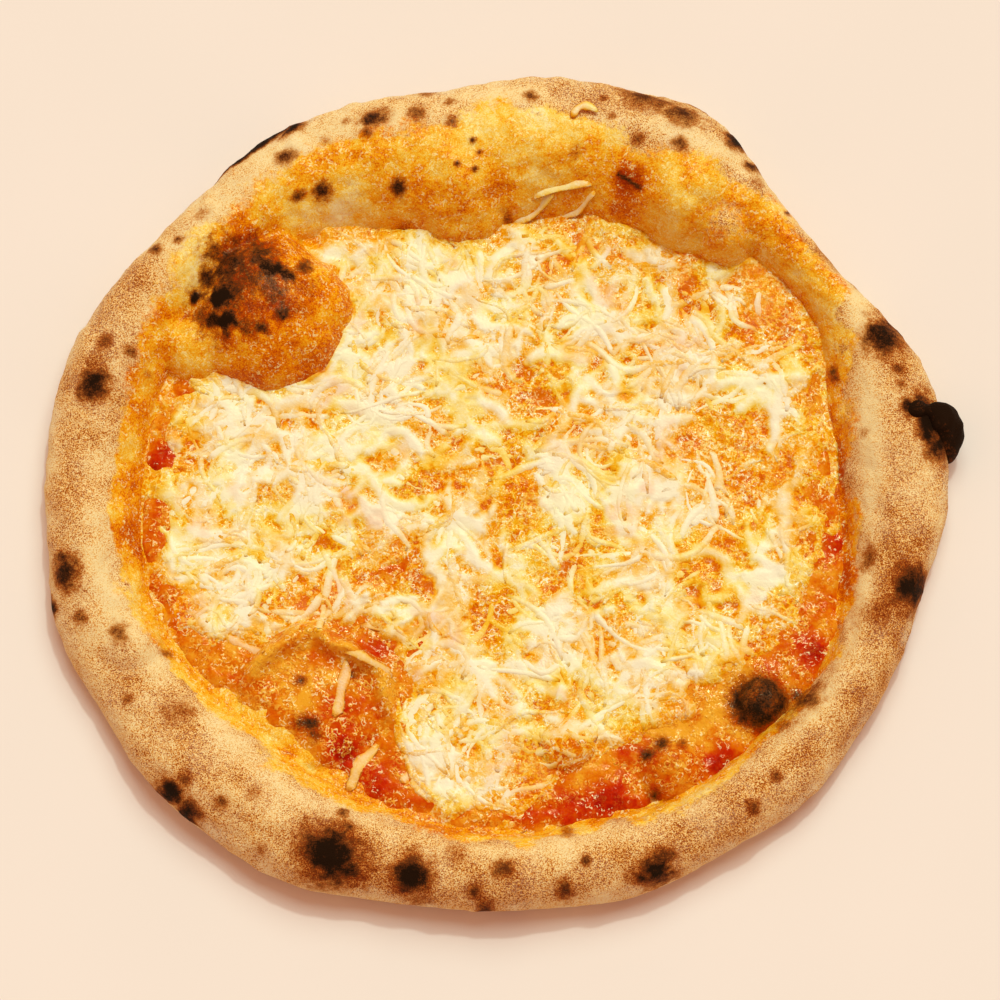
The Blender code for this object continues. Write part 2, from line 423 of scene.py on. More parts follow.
def hand_waves(angle, *waves):
    """The unevenness that hands leave: a sum of sines, each (waves in a full turn, phase, size)."""
    return sum(size * np.sin(count * angle + phase) for count, phase, size in waves)


def with_bubbles(x, y, z, tallest=math.inf):
    """Raises z to each bubble's dome, base + rise * (1 - off ** 2) ** fullness, with a fillet at its foot.

    Bubbles whose top is over tallest are left out.
    """
    ragged = 1 + 0.09 * flat_lumps(x, y, 13.0, 35, 2)
    for degrees, distance, radius, top in BUBBLES:
        if top > tallest:
            continue
        middle_x, middle_y = polar(degrees, distance)
        off = np.hypot(x - middle_x, y - middle_y) / radius * ragged
        dome = BASE_THICKNESS + (top - BASE_THICKNESS) * np.clip(1 - off**2, 0, 1) ** BUBBLE_FULLNESS
        z = np.where(off < 1, smooth_max(z, dome, BUBBLE_BLEND), z)
    return z


def dough_base(x, y, tallest=math.inf):
    """Height of the dough in the well: the base, its slow waves, and the bubbles up to the tallest."""
    waves = (np.sin(x / 17 + 0.6) * np.cos(y / 21 - 1.1) + np.sin((x + y) / 29 + 2.0)) / 4
    return with_bubbles(x, y, BASE_THICKNESS + waves, tallest)


# A bubble that burst and sank: (angle, distance, radius, width of its ridge, height of its ridge).
SUNKEN = (232, 101, 26, 3.8, 5.6)


def sunken_ridge(x, y):
    """The sunken bubble's rim: height * exp(-((d - radius) / width) ** 2), highest to the north."""
    degrees, distance, radius, width, height = SUNKEN
    middle_x, middle_y = polar(degrees, distance)
    off = np.hypot(x - middle_x, y - middle_y) * (1 + 0.10 * flat_lumps(x, y, 11.0, 36, 2))
    northern = smooth_step(-0.7, 0.5, (y - middle_y) / np.maximum(off, 1.0))
    room = edge_towards(SAUCE_EDGE, x, y) - np.hypot(x, y)
    return height * northern * smooth_step(0, 14, room) * np.exp(-((off - radius) / width) ** 2)


def topping_base(x, y):
    """What the toppings lie on: the base and its low bubbles. They lap a little way up the tall ones."""
    low = dough_base(x, y, LOW_BUBBLE_TOP)
    lap = 0.7 + 0.9 * flat_lumps(x, y, 7.0, 37, 2)
    return np.minimum(dough_base(x, y), low + lap) + sunken_ridge(x, y)


print("stations round the rim:", len(RIM_OUTER), "and gas bubbles:", len(BUBBLES))

# %% The dough's section, carried round the pizza
SPOKES = 720
UNDER_RINGS = 5
LOWER_RINGS = 12
UPPER_RINGS = 34
WALL_RINGS = 38
BORDER_RINGS = 40
MIDDLE_RINGS = 8
spoke_angles = np.arange(SPOKES) * 2 * math.pi / SPOKES
outer = around(RIM_OUTER, spoke_angles) + hand_waves(spoke_angles, (9, 1.0, 0.7), (16, 2.3, 0.5))
foot = around(RIM_FOOT, spoke_angles)
rim_height = around(RIM_HEIGHT, spoke_angles) + hand_waves(spoke_angles, (8, 0.4, 0.6), (13, 1.9, 0.5))
widest = WIDEST_HEIGHT_SHARE * rim_height
crest = outer - CREST_WIDTH_SHARE * (outer - foot)
contact = outer - CONTACT_INSET


def ring_shares(count):
    """Shares of the way along a stretch of the section, as a column: (1 .. count) / count."""
    return np.arange(1, count + 1)[:, None] / count


under, wall, border = ring_shares(UNDER_RINGS), ring_shares(WALL_RINGS), ring_shares(BORDER_RINGS)
lower, upper = (ring_shares(count) * math.pi / 2 for count in (LOWER_RINGS, UPPER_RINGS))
middle = ring_shares(MIDDLE_RINGS)[:-1]
WELL_START = 66.0
radius = np.concatenate([
    contact * under,
    contact + CONTACT_INSET * np.sin(lower),
    crest + (outer - crest) * np.cos(upper),
    crest + (foot - crest) * wall,
    foot + (WELL_START - foot) * border,
    WELL_START * (1 - middle) + 0 * foot,
])
wall_height = BASE_THICKNESS + (rim_height - BASE_THICKNESS) * (1 - wall**INNER_WALL_FULLNESS)
flat = np.full((BORDER_RINGS + MIDDLE_RINGS - 1, SPOKES), BASE_THICKNESS)
height = np.concatenate([
    0 * contact * under,
    widest * (1 - np.cos(lower)),
    widest + (rim_height - widest) * np.sin(upper),
    wall_height,
    flat,
])
dough_x = radius * np.cos(spoke_angles)
dough_y = radius * np.sin(spoke_angles)
ring_number = np.arange(len(radius))[:, None]
top_part = ring_number >= UNDER_RINGS + LOWER_RINGS
wall_and_well = ring_number >= UNDER_RINGS + LOWER_RINGS + UPPER_RINGS
well_part = ring_number >= UNDER_RINGS + LOWER_RINGS + UPPER_RINGS + WALL_RINGS
bubbled = np.maximum(height, with_bubbles(dough_x, dough_y, height))
dough_z = np.where(well_part, dough_base(dough_x, dough_y), np.where(top_part, bubbled, height))
dough_rings = np.stack([dough_x, dough_y, dough_z], -1)
print("dough grid:", dough_rings.shape)

# %% [markdown]
# ## Burnt spots on the crust
# A hot oven burns the thinnest skin of the blisters first, so the rim has brown and black spots, each
# with a soft edge. They are listed by angle and distance from the middle, and each one also
# lifts the surface a little, because the spot is a small blister.

# %% Spots: (angle, distance, size across the rim, size along it, darkness)
SPOTS = (
    (166, 143, 9, 12, 1.0), (160, 144, 5, 6, 0.6), (160, 135, 4, 4, 0.55), (162, 127, 3, 3, 0.4),
    (145, 144, 4, 4, 0.75), (142, 140, 3, 3, 0.6), (137, 140, 5, 6, 0.3), (122, 138, 5, 7, 0.7),
    (116, 136, 4, 4, 0.45), (119, 147, 4, 9, 1.0), (108, 137, 7, 10, 0.85), (110, 132, 4, 4, 0.65),
    (112, 140, 3, 4, 0.35), (102, 134, 6, 6, 0.7), (97, 137, 3, 4, 0.6), (97, 129, 4, 4, 0.6),
    (100, 143, 4, 6, 0.5), (120, 121, 5, 6, 0.95), (124, 124, 3, 5, 0.7), (108, 111, 5, 5, 0.75),
    (109, 98, 5, 5, 0.5), (97, 113, 2, 2, 0.85), (94, 111, 2, 2, 0.8), (94, 121, 2, 2, 0.8),
    (93, 117, 2, 2, 0.6), (85, 138, 4, 5, 0.7), (75, 142, 3, 3, 0.6), (73, 136, 3, 3, 0.5),
    (68, 131, 5, 5, 0.6), (62, 135, 5, 5, 0.6), (69, 147.5, 9, 20, 0.62), (64, 146, 8, 15, 0.72),
    (62, 154, 3, 10, 1.0), (56, 149, 7, 8, 1.1), (52, 144, 5, 5, 0.85), (50, 140, 5, 5, 0.35),
    (67, 117, 7, 9, 0.3), (77, 120, 6, 6, 0.3), (88, 98, 4, 4, 0.5), (44, 140, 2, 2, 0.8),
    (21, 143, 13, 13, 1.0), (16, 144, 4, 4, 0.6), (13.5, 143, 4, 4, 0.55), (10.2, 143.5, 5, 6, 1.0),
    (8, 149.5, 7, 16, 1.2), (4, 151, 7, 9, 0.9), (340, 139, 9, 13, 0.35), (324, 131, 8, 12, 0.70),
    (319, 131, 6, 7, 0.55), (5, 152, 9, 8, 0.9), (19, 123, 3, 6, 0.6), (345, 146, 11, 15, 1.05),
    (348, 130, 5, 8, 0.55), (312, 142, 4, 4, 0.55), (307, 145, 5, 5, 0.6), (291.5, 147, 8, 13, 1.05),
    (282.5, 138, 4, 4, 0.65), (279, 146, 6, 6, 0.75), (271, 138, 7, 7, 0.6), (267, 145, 4, 5, 0.7),
    (268.5, 149, 4, 5, 0.65), (258.5, 142, 12, 12, 1.05), (247, 144, 17, 20, 1.15), (246, 129, 4, 4, 0.6),
    (238.5, 153, 5, 5, 0.35), (230.5, 148, 5, 5, 0.65), (233.5, 139, 5, 5, 0.35), (224.5, 156, 6, 10, 1.1),
    (228, 157, 7, 9, 1.0), (225, 150, 5, 5, 0.6), (211.5, 148, 4, 4, 0.6), (217, 136, 10, 9, 0.5),
    (203, 140, 6, 7, 0.65), (208, 128, 4, 4, 0.45), (199, 151, 5, 5, 0.65), (196, 158, 2, 6, 1.1),
    (192.5, 151, 8, 13, 0.85), (264, 133, 10, 8, 0.35), (281, 125, 5, 5, 0.5), (35, 141, 5, 12, 0.4),
    (30, 143, 4, 5, 0.4), (314, 110, 13, 15, 0.0), (331, 125, 4, 6, 0.4), (320, 133, 4, 5, 0.4),
    (8, 128, 4, 4, 0.25),
)

# Char on the tall bubble: (x and y from its middle, radius, darkness).
BUBBLE_CHAR = (
    (-9, 7, 17, 0.50), (-2, 14, 12, 0.42), (-16, -3, 11, 0.50), (6, -2, 9, 0.30), (-6, -8, 8, 0.32),
    (-17, 0, 5, 1.10), (-14, -8, 4, 1.05), (-25, 2.5, 2.6, 0.9), (-12, 14, 9, 0.68), (-5, 17, 8, 0.66),
    (-15, 9, 8, 0.70), (1, 11, 5, 0.78), (6.5, 8, 3.5, 0.74), (5.5, -5, 4, 0.72), (-5, 5, 9, 0.55),
    (12, 12, 4, 0.6), (-8, -10, 4, 0.5), (-2, -11, 3, 0.6), (1, 3, 8, 0.55), (-20, 9, 5, 0.7),
    (-19, -6, 4, 0.85), (-18, 17, 5, 0.55), (13, 5, 5, 0.35), (-10, 3, 6, 0.6),
)

# Dark lines along folds: (start angle and distance, end angle and distance, width, darkness).
STREAKS = (
    (141, 151.5, 130, 149, 2.2, 1.0), (130, 149, 119, 150, 2.4, 1.1), (62, 156, 57, 153, 2.0, 1.0),
    (37, 145, 30, 147, 2.0, 0.7), (71, 150, 62, 149, 1.2, 0.55), (72, 145, 60, 144.5, 1.0, 0.4),
    (69, 117.8, 64.5, 116.2, 1.0, 0.9), (152, 154, 146, 152.5, 1.2, 0.6), (55, 151.5, 49, 147.5, 1.2, 0.9),
)


def spot_field(points):
    """Darkness from 0 to 1.2: each spot's darkness times a smooth fall across its ragged edge."""
    x, y = points[..., 0], points[..., 1]
    ragged = 0.22 * lumps(points, 3.0, 21, 2) + 0.16 * lumps(points, 1.1, 22)
    field = np.zeros(x.shape)
    for degrees, distance, across, along, dark in SPOTS:
        turn = math.radians(degrees)
        out = x * math.cos(turn) + y * math.sin(turn) - distance
        side = y * math.cos(turn) - x * math.sin(turn)
        off = np.hypot(out / (0.62 * across), side / (0.62 * along)) + ragged
        field = np.maximum(field, 1.05 * dark * np.exp(-1.1 * np.maximum(off, 0) ** 2.2))
    middle_x, middle_y = polar(*TALL_BUBBLE[:2])
    for right, up, reach, dark in BUBBLE_CHAR:
        off = np.hypot(x - middle_x - right, y - middle_y - up) / (1.1 * reach)
        field = np.maximum(field, 1.25 * dark * (1 - smooth_step(0.15, 1.4, off + 1.5 * ragged)))
    for angle_a, distance_a, angle_b, distance_b, width, dark in STREAKS:
        ax, ay = polar(angle_a, distance_a)
        bx, by = polar(angle_b, distance_b)
        run_x, run_y = bx - ax, by - ay
        share = np.clip(((x - ax) * run_x + (y - ay) * run_y) / (run_x**2 + run_y**2), 0, 1)
        off = np.hypot(x - ax - share * run_x, y - ay - share * run_y) / width
        field = np.maximum(field, dark * (1 - smooth_step(0.3, 1.2, off + 0.25 * ragged)))
    return field


print("burnt spots:", len(SPOTS) + len(BUBBLE_CHAR), "and dark folds:", len(STREAKS))

# %% Relief of the crust
char = spot_field(dough_rings) * top_part
char = char + 0.14 * lumps(dough_rings, 5.0, 34, 2) * smooth_step(0.02, 0.35, char)
slow = lumps(dough_rings, 16.0, 31, 2)
fine = lumps(dough_rings, 4.2, 32, 3)
dents = lumps(dough_rings, 9.0, 33, 2) * smooth_step(5.0, 12.0, dough_rings[..., 2])
blisters = smooth_step(0.3, 1.0, char)
relief = np.where(top_part, 0.75 * slow + 0.38 * fine + 0.45 * dents + 0.4 * blisters, 0.0)
outer_band = (ring_number >= UNDER_RINGS) & ~top_part
relief += np.where(outer_band, (0.5 * slow + 0.25 * fine) * smooth_step(0, 3.0, dough_z), 0.0)
relief *= np.where(well_part, 0.6, 1.0)
dough_rings = dough_rings + ring_normals(dough_rings) * relief[..., None]
rings_x, rings_y, rings_z = np.moveaxis(dough_rings, -1, 0)
print("relief, mm:", relief.min().round(2), "to", relief.max().round(2))

# %% Marks of toasting, oil and flour, one number per point
STAIN_EDGE = (124, 127, 137, 139, 136, 132, 134, 129, 136, 134, 134, 133,
              131, 135, 129, 126, 126, 124, 127, 127, 130, 130, 131, 126)
TOASTING = (0.58, 0.54, 0.56, 0.64, 0.66, 0.60, 0.58, 0.54, 0.48, 0.40, 0.40, 0.44,
            0.45, 0.44, 0.50, 0.50, 0.57, 0.58, 0.62, 0.62, 0.68, 0.72, 0.74, 0.66)

# Dry places among the oil, and patches of deeper oil or, where the strength is below 0, of paler oil:
# (angle, distance, radius, strength).
DRY_PLACES = ((49.5, 122, 8.5, 0.65), (67.5, 133, 8, 0.95), (62, 137, 7, 0.5))
OIL_PATCHES = ((67, 117, 7, 0.55), (123, 105, 13, -0.30), (41, 118, 10, -0.35), (352, 117, 6, 0.70),
               (346, 120, 6, 0.50), (3, 117, 6, 0.40), (23, 129, 8, -0.20), (189, 125, 8, 0.35),
               (262, 123, 14, 0.15), (226, 120, 12, -0.15), (56, 124, 12, -0.20), (352, 126, 7, -0.20),
               (142, 131, 13, -0.30), (119, 112, 9, -0.45))
reach = np.hypot(rings_x, rings_y)
near_camera = smooth_step(10, -50, rings_y)

stain_edge = around(STAIN_EDGE, spoke_angles)
stain_fade = 3.0 + 4.0 * smooth_step(0, 80, rings_y)
stain = smooth_step(-stain_fade, stain_fade, stain_edge - reach + 4.5 * lumps(dough_rings, 10.0, 41, 3))
stain = stain * (1 - 0.30 * near_camera * smooth_step(6.0, 14.0, rings_z))
for place in DRY_PLACES:
    stain = stain * (1 - patches(rings_x, rings_y, [place]))

toast = (around(TOASTING, spoke_angles) + 0.30 * lumps(dough_rings, 26.0, 42, 2)
         + 0.26 * lumps(dough_rings, 7.0, 43, 2))
# The crust just outside the oil is paler, most of all on the right.
paler_outside = 0.32 + 0.40 * smooth_step(80, 120, rings_x)
toast = toast - paler_outside * np.exp(-((reach - stain_edge - 4) / 5) ** 2)

low_down = 1 - smooth_step(5.0, 13.0, rings_z)
yellow_top = np.exp(-((reach - 130) / 14) ** 2) * np.exp(-((np.degrees(spoke_angles) - 88) / 20) ** 2)
bubble_x, bubble_y = polar(*TALL_BUBBLE[:2])
on_bubble = smooth_step(34, 24, np.hypot(rings_x - bubble_x, rings_y - bubble_y))
oil_depth = (0.42 + 0.18 * lumps(dough_rings, 15.0, 44, 2) + 0.20 * lumps(dough_rings, 5.5, 45, 2)
             + 0.14 * low_down - 0.25 * yellow_top + 0.20 * on_bubble - 0.08 * near_camera
             + patches(rings_x, rings_y, OIL_PATCHES))

# The underside and the foot of the outer wall are pale, and flour lies at the back.
pale = np.where(top_part, 0.0, 1.0) * np.ones(SPOKES)
pale = np.maximum(pale, ~wall_and_well * (1 - smooth_step(0.45, 0.95, rings_z / rim_height)))
floury = smooth_step(-0.1, 0.6, lumps(dough_rings, 9.0, 46, 2)) * smooth_step(85, 125, rings_y)
pale = np.maximum(pale, 0.40 * floury)
print("mean toast, stain and pale:", toast.mean().round(2), stain.mean().round(2), pale.mean().round(2))

# %% [markdown]
# ## The look of the crust
# Dry flour and fine toasted grains give the crust its sandy speckle. Where cheese oil soaked into the
# wall, the crust is smooth, amber and a little shiny. Where the fat boiled it left a foam of tiny rings,
# whose glints, highlights and shade are painted into its colour. Spots go brown and then black. The foam
# and the burning are node groups, because other pieces use them too.

# %% Node group: burning
def new_group(name, inputs, outputs):
    """An empty node group: its tree, the outputs of its input node and the inputs of its output node."""
    group = bpy.data.node_groups.new(name, "ShaderNodeTree")
    for way, labels in (("INPUT", inputs), ("OUTPUT", outputs)):
        for label in labels:
            kind = "NodeSocketColor" if label == "Color" else "NodeSocketFloat"
            group.interface.new_socket(label, in_out=way, socket_type=kind)
    return group, group.nodes.new("NodeGroupInput").outputs, group.nodes.new("NodeGroupOutput").inputs


burn_group, given, result = new_group("burning", ["Color", "Burn"], ["Color", "Black"])
amount = Number(given["Burn"])
ragged_burn = unevenness(burn_group, (0.5, 0.65), (1.7, 0.50), roughness=0.7)
# Unevenness only shows where there is some burning to vary.
burn = amount + ragged_burn * step_between(amount, 0.02, 0.35)
blackened = step_between(burn, 0.62, 1.05)
burnt = blend_colours(step_between(burn, 0.02, 0.45), given["Color"], colour(208, 158, 108), "MULTIPLY")
burnt = blend_colours(step_between(burn, 0.30, 0.80), burnt, colour(104, 46, 12))
plug(result["Color"], blend_colours(blackened, burnt, colour(30, 11, 4)))
plug(result["Black"], blackened)


def burned(tree, shade):
    """The shade with the piece's burn mark burned into it, and how black it is."""
    node = add(tree, "ShaderNodeGroup", {"node_tree": burn_group}, Color=shade, Burn=attribute(tree, "burn"))
    return node.outputs["Color"], Number(node.outputs["Black"])


print("burning is made of", len(burn_group.nodes), "nodes")

# %% Node group: oily foam
# The foam is painted light. Light is a painted highlight on the bubbles' rims and on curls. Dark darkens the
# bubbles' middles and paints shade along other curls. Bright paints small glints. Height feeds the bump.
foam_group, given, result = new_group(
    "oily foam", ["Bubbles per metre"], ["Light", "Dark", "Height", "Bright"])
place = add(foam_group, "ShaderNodeTexCoord").outputs["Object"]
wobble = add(foam_group, "ShaderNodeTexNoise", Vector=place, Scale=0.9 / MM, Detail=1.0)
shift = add(foam_group, "ShaderNodeVectorMath", {"operation": "SCALE"}, Vector=wobble.outputs["Color"],
            Scale=1.1 * MM)
moved = add(foam_group, "ShaderNodeVectorMath", {"operation": "ADD"}, Vector=place)
plug(moved.inputs[1], shift.outputs[0])


def bubble_layer(per_metre, cloud_mm):
    """Round bubbles of many sizes: their rings, painted as highlights on the rims, their middles, which
    darken, and their domes, only inside some clouds.
    """
    cells = add(foam_group, "ShaderNodeTexVoronoi", {"feature": "F1"}, Vector=moved.outputs[0],
                Scale=per_metre)
    size = step_between(Number(cells.outputs["Color"]), 0.15, 0.85, 0.5, 1.25)
    off = Number(cells.outputs["Distance"]) / size
    cloud = step_between(noise(foam_group, cloud_mm), 0.44, 0.54)
    ring = step_between(off, 0.20, 0.33) * step_between(off, 0.35, 0.48, 1.0, 0.0)
    middle = step_between(off, 0.10, 0.30, 1.0, 0.0)
    dome = step_between(off, 0.0, 0.46, 1.0, 0.0)
    return cloud * ring, cloud * middle, cloud * dome


big = bubble_layer(Number(given[0]), 5.0)
small = bubble_layer(1.9 * Number(given[0]), 3.1)
light, dark, domes = (
    calculate("MAXIMUM", of_first * first, of_second * second)
    for first, second, of_first, of_second in zip(big, small, (0.9, 0.45, 1.0), (0.85, 0.7, 0.5)))
# Curls are the lines where a noise passes a level, kept only in some places. The light curls are painted
# highlights, the dark ones are painted shade beside them, and the bright ones are painted glints.
swirl = noise(foam_group, 1.8)
curly = step_between(noise(foam_group, 4.3, 0.0), 0.42, 0.52)
painted_highlight_curl, painted_shade_curl, painted_glint_curl = (
    curly * step_between(abs(swirl - level), 0.4 * half_width, half_width, 0.95, 0.0)
    for level, half_width in ((0.54, 0.050), (0.44, 0.045), (0.59, 0.055)))
plug(result["Light"], calculate("MAXIMUM", light, painted_highlight_curl))
plug(result["Dark"], calculate("MAXIMUM", dark, painted_shade_curl))
plug(result["Height"], domes + step_between(swirl, 0.40, 0.60, 0.0, 0.6))
plug(result["Bright"], painted_glint_curl * step_between(Number(wobble.outputs[0]), 0.48, 0.56))


def foam_on(tree, bubble_mm):
    """The foam group, with its larger bubbles bubble_mm apart: its painted highlight, its darkening (partly
    painted shade), its height and its painted glint numbers.
    """
    node = add(tree, "ShaderNodeGroup", {"node_tree": foam_group})
    node.inputs[0].default_value = 1 / (bubble_mm * MM)
    return (Number(output) for output in node.outputs)


print("foam is made of", len(foam_group.nodes), "nodes")

# %% Crust material
OILY_GLINT = (1.0, 0.80, 0.42, 1.0)
crust_material, tree, shader = new_material("baked crust", Specular_IOR_Level=0.30,
                                            Specular_Tint=OILY_GLINT)
grain = step_between(noise(tree, 0.45, 1.0, 0.7), 0.25, 0.75)
clusters = step_between(noise(tree, 1.5), 0.3, 0.7)
pale_mark = attribute(tree, "pale")
toasted = attribute(tree, "toast") + 1.25 * (grain - 0.5) + 0.24 * (clusters - 0.5) - 0.28 * pale_mark
dry = ramp(toasted, (0.0, 240, 206, 142), (0.25, 236, 186, 108), (0.50, 226, 154, 70), (0.75, 196, 108, 26),
           (1.0, 146, 62, 4))
flour = step_between(noise(tree, 0.5, 1.0, 0.7) + attribute(tree, "flour"), 0.45, 0.67)
flour = flour * step_between(pale_mark, 0.0, 1.0, 0.22, 0.9)
dry = blend_colours(flour, dry, colour(243, 220, 172))
soaked = attribute(tree, "depth") + unevenness(tree, (2.4, 0.50), (0.8, 0.60), (0.4, 0.50))
oily = ramp(step_between(soaked, -0.35, 1.05), (0.0, 243, 222, 160), (0.20, 242, 205, 106),
            (0.42, 242, 184, 50), (0.62, 240, 158, 12), (0.80, 226, 118, 0), (1.0, 184, 60, 0))
# On the oily wall the foam's darkening is partly painted shade. Its light rings and curls (glint_share) are
# painted highlights, and its bright curls are painted glints.
light, dark, _, painted_glint = foam_on(tree, 2.0)
oily = blend_colours(0.28 * dark, oily, colour(214, 104, 0))
glint_share = light * step_between(noise(tree, 1.2), 0.54, 0.66, 0.0, 0.8)
oily = blend_colours(glint_share, oily, colour(250, 226, 140))
oily = blend_colours(0.6 * painted_glint, oily, colour(247, 230, 160))
stained = step_between(attribute(tree, "stain") + unevenness(tree, (1.6, 0.9)), 0.25, 0.75)
crust_colour, black = burned(tree, blend_colours(stained, dry, oily))
roughness = step_between(stained * (1.0 - black), 0.0, 1.0, 0.9, 0.18)
bumps = grain * step_between(stained, 0.0, 1.0, 0.5, 0.2) + noise(tree, 2.6)
finish_shader(shader, crust_colour, roughness, bumps, depth_mm=0.35, strength=0.75)
print("the crust's look is made of", len(tree.nodes), "nodes")

# %% The dough piece
dough = make_piece("dough", shell_points(dough_rings), shell_faces(len(radius), SPOKES), crust_material,
                   "baked_dough", **shell_marks(toast=toast, burn=char, stain=stain, pale=pale,
                                                depth=oil_depth, flour=0.12 * lumps(dough_rings, 6.0, 47, 2)))
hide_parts("dough")

# %% [markdown]
# ## The burnt blister
# On the right a thin blister swelled out over the edge and burnt black. It is a small lobe, a notch and a
# long bulb that hangs over the edge. An oval section is carried along a bent spine (a quadratic Bezier
# curve), and its half-width is the larger of the lobe's, the bulb's and the notch's, blended.

# %% Burnt blister: where its spine starts, the point that it bends towards, and where it ends
SPINE_START = np.array([141.0, 23.8, 18.8])
SPINE_BEND = np.array([158.5, 29.5, 16.5])
SPINE_END = np.array([154.6, 8.5, 7.0])
# The lobe and the bulb along the spine: (share of the way, half-length in shares, half-width in mm).
LOBE = (0.12, 0.12, 3.3)
BULB = (0.62, 0.38, 6.4)
NECK_RADIUS = 2.2
BLISTER_FLATTENED = 0.12
BLISTER_RINGS = 60
BLISTER_SPOKES = 64

share = (1 - np.cos(math.pi * (np.arange(BLISTER_RINGS) + 0.5) / BLISTER_RINGS)) / 2
one = share[:, None]
spine = (1 - one) ** 2 * SPINE_START + 2 * one * (1 - one) * SPINE_BEND + one**2 * SPINE_END
forward = (1 - one) * (SPINE_BEND - SPINE_START) + one * (SPINE_END - SPINE_BEND)
forward = forward / np.linalg.norm(forward, axis=1, keepdims=True)
level = np.cross(forward, [0.0, 0.0, 1.0])
level = level / np.linalg.norm(level, axis=1, keepdims=True)
upright = np.cross(level, forward)
lobe_width, bulb_width = (
    half_width * np.sqrt(np.clip(1 - ((share - middle_share) / half_length) ** 2, 0, 1))
    for middle_share, half_length, half_width in (LOBE, BULB))
neck = NECK_RADIUS * smooth_step(0.02, 0.12, share) * smooth_step(0.5, 0.3, share)
width = np.maximum(smooth_max(smooth_max(lobe_width, bulb_width, 0.6), neck, 0.5) - 0.15, 0.05)
turn = np.arange(BLISTER_SPOKES) * 2 * math.pi / BLISTER_SPOKES
section = (level[:, None] * np.cos(turn)[:, None]
           + upright[:, None] * ((1 - BLISTER_FLATTENED) * np.sin(turn))[:, None])
blister_rings = spine[:, None] + width[:, None, None] * section
dented = (blister_rings - spine[:, None]) * (0.12 * lumps(blister_rings, 4.0, 51, 2))[..., None]
blister_points = shell_points(blister_rings + dented)
blister_faces = shell_faces(BLISTER_RINGS, BLISTER_SPOKES)
blister_burn = 1.15 + 0.16 * lumps(blister_points, 5.0, 52, 2)
blister_burn = blister_burn - 0.35 * smooth_step(16.0, 6.0, blister_points[:, 1])
no_mark = 0 * blister_burn
blister = make_piece("burnt_blister", blister_points, blister_faces, crust_material, "baked_dough",
                     toast=no_mark + 0.7, burn=blister_burn, stain=no_mark, pale=no_mark, depth=no_mark,
                     flour=no_mark)
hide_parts("dough")

# %% [markdown]
# ## The tomato sauce
# The sauce is a wet skin that follows the base and the low bubbles. It thins to nothing at its ragged
# edge, where its height dips under the dough's, so the two surfaces make the edge between them. Cheese
# fat floats on it, turns most of it amber and foams there as on the crust's wall.

# %% Sauce surface
SAUCE_SPOKES = 480
SAUCE_RINGS = 120
SAUCE_DEPTH = 1.6
# The sauce runs this far past its listed edge, where it dips this far under the dough's top.
SAUCE_OVERLAP = 2.5
SAUCE_DIP = 0.7
# Hidden under faces of the toppings lie at this height, inside the dough, and are drawn in to this share.
UNDER_LEVEL = 2.0
UNDER_SHARE = 0.97
sauce_angles = np.arange(SAUCE_SPOKES) * 2 * math.pi / SAUCE_SPOKES
sauce_edge = around(SAUCE_EDGE, sauce_angles) + SAUCE_OVERLAP


def tuck_under(edge_points):
    """The lower edge of a topping, hidden in the dough: its edge, drawn in and put at the under level."""
    return edge_points * [UNDER_SHARE, UNDER_SHARE, 0] + [0, 0, UNDER_LEVEL]


def sauce_relief(points):
    """The sauce's lumps of pulp, in mm."""
    return 0.35 * lumps(points, 5.0, 62, 2) + 0.16 * lumps(points, 1.8, 63)


def sauce_height(x, y, inside):
    """Top of the sauce: the base plus its depth, which falls under the base as inside reaches 0 mm."""
    points = np.stack([x, y], -1)
    fall = smooth_step(0.0, 7.0, inside + 2.2 * lumps(points, 6.0, 61, 2)) * smooth_step(0.0, 2.5, inside)
    return topping_base(x, y) - SAUCE_DIP + (SAUCE_DEPTH + SAUCE_DIP + sauce_relief(points)) * fall


share = (1 - np.arange(SAUCE_RINGS)[:, None] / SAUCE_RINGS) ** 0.75
sauce_radius = sauce_edge * share
sauce_x = sauce_radius * np.cos(sauce_angles)
sauce_y = sauce_radius * np.sin(sauce_angles)
sauce_z = sauce_height(sauce_x, sauce_y, sauce_edge - sauce_radius)
sauce_top = np.stack([sauce_x, sauce_y, sauce_z], -1)
sauce_rings = np.concatenate([tuck_under(sauce_top[:1]), sauce_top])
print("sauce grid:", sauce_rings.shape)

# %% Sauce material
sauce_material, tree, shader = new_material("tomato sauce", Specular_IOR_Level=0.40,
                                            Specular_Tint=OILY_GLINT)
light, dark, height, painted_glint = foam_on(tree, 2.4)
amber_mark = attribute(tree, "amber")
wetness = amber_mark + unevenness(tree, (8.0, 0.90), (2.6, 0.60), (0.9, 0.30))
sauce_colour = ramp(wetness, (0.0, 160, 8, 0), (0.25, 194, 36, 0), (0.5, 208, 76, 0), (0.75, 222, 116, 4),
                    (1.0, 234, 156, 34))
frothy = (step_between(amber_mark, 0.15, 0.55, 0.15, 1.0)
          * step_between(noise(tree, 6.0), 0.42, 0.58, 0.0, 0.8))
frothy = calculate("MAXIMUM", frothy, attribute(tree, "froth"))
# Over the sauce's own colour go the foam's darkening (partly painted shade), its painted highlights where it
# froths, and its painted glints.
for share, shade in ((0.5 * dark, colour(188, 66, 0)), (light * frothy, colour(242, 180, 62)),
                     (0.8 * painted_glint, colour(247, 222, 160))):
    sauce_colour = blend_colours(share, sauce_colour, shade)
sauce_colour, black = burned(tree, sauce_colour)
finish_shader(shader, sauce_colour, step_between(black, 0.0, 1.0, 0.14, 0.75),
              0.6 * noise(tree, 1.4, 2.0, 0.6) + height * frothy, depth_mm=0.40, strength=0.8)
print("the sauce's look is made of", len(tree.nodes), "nodes")

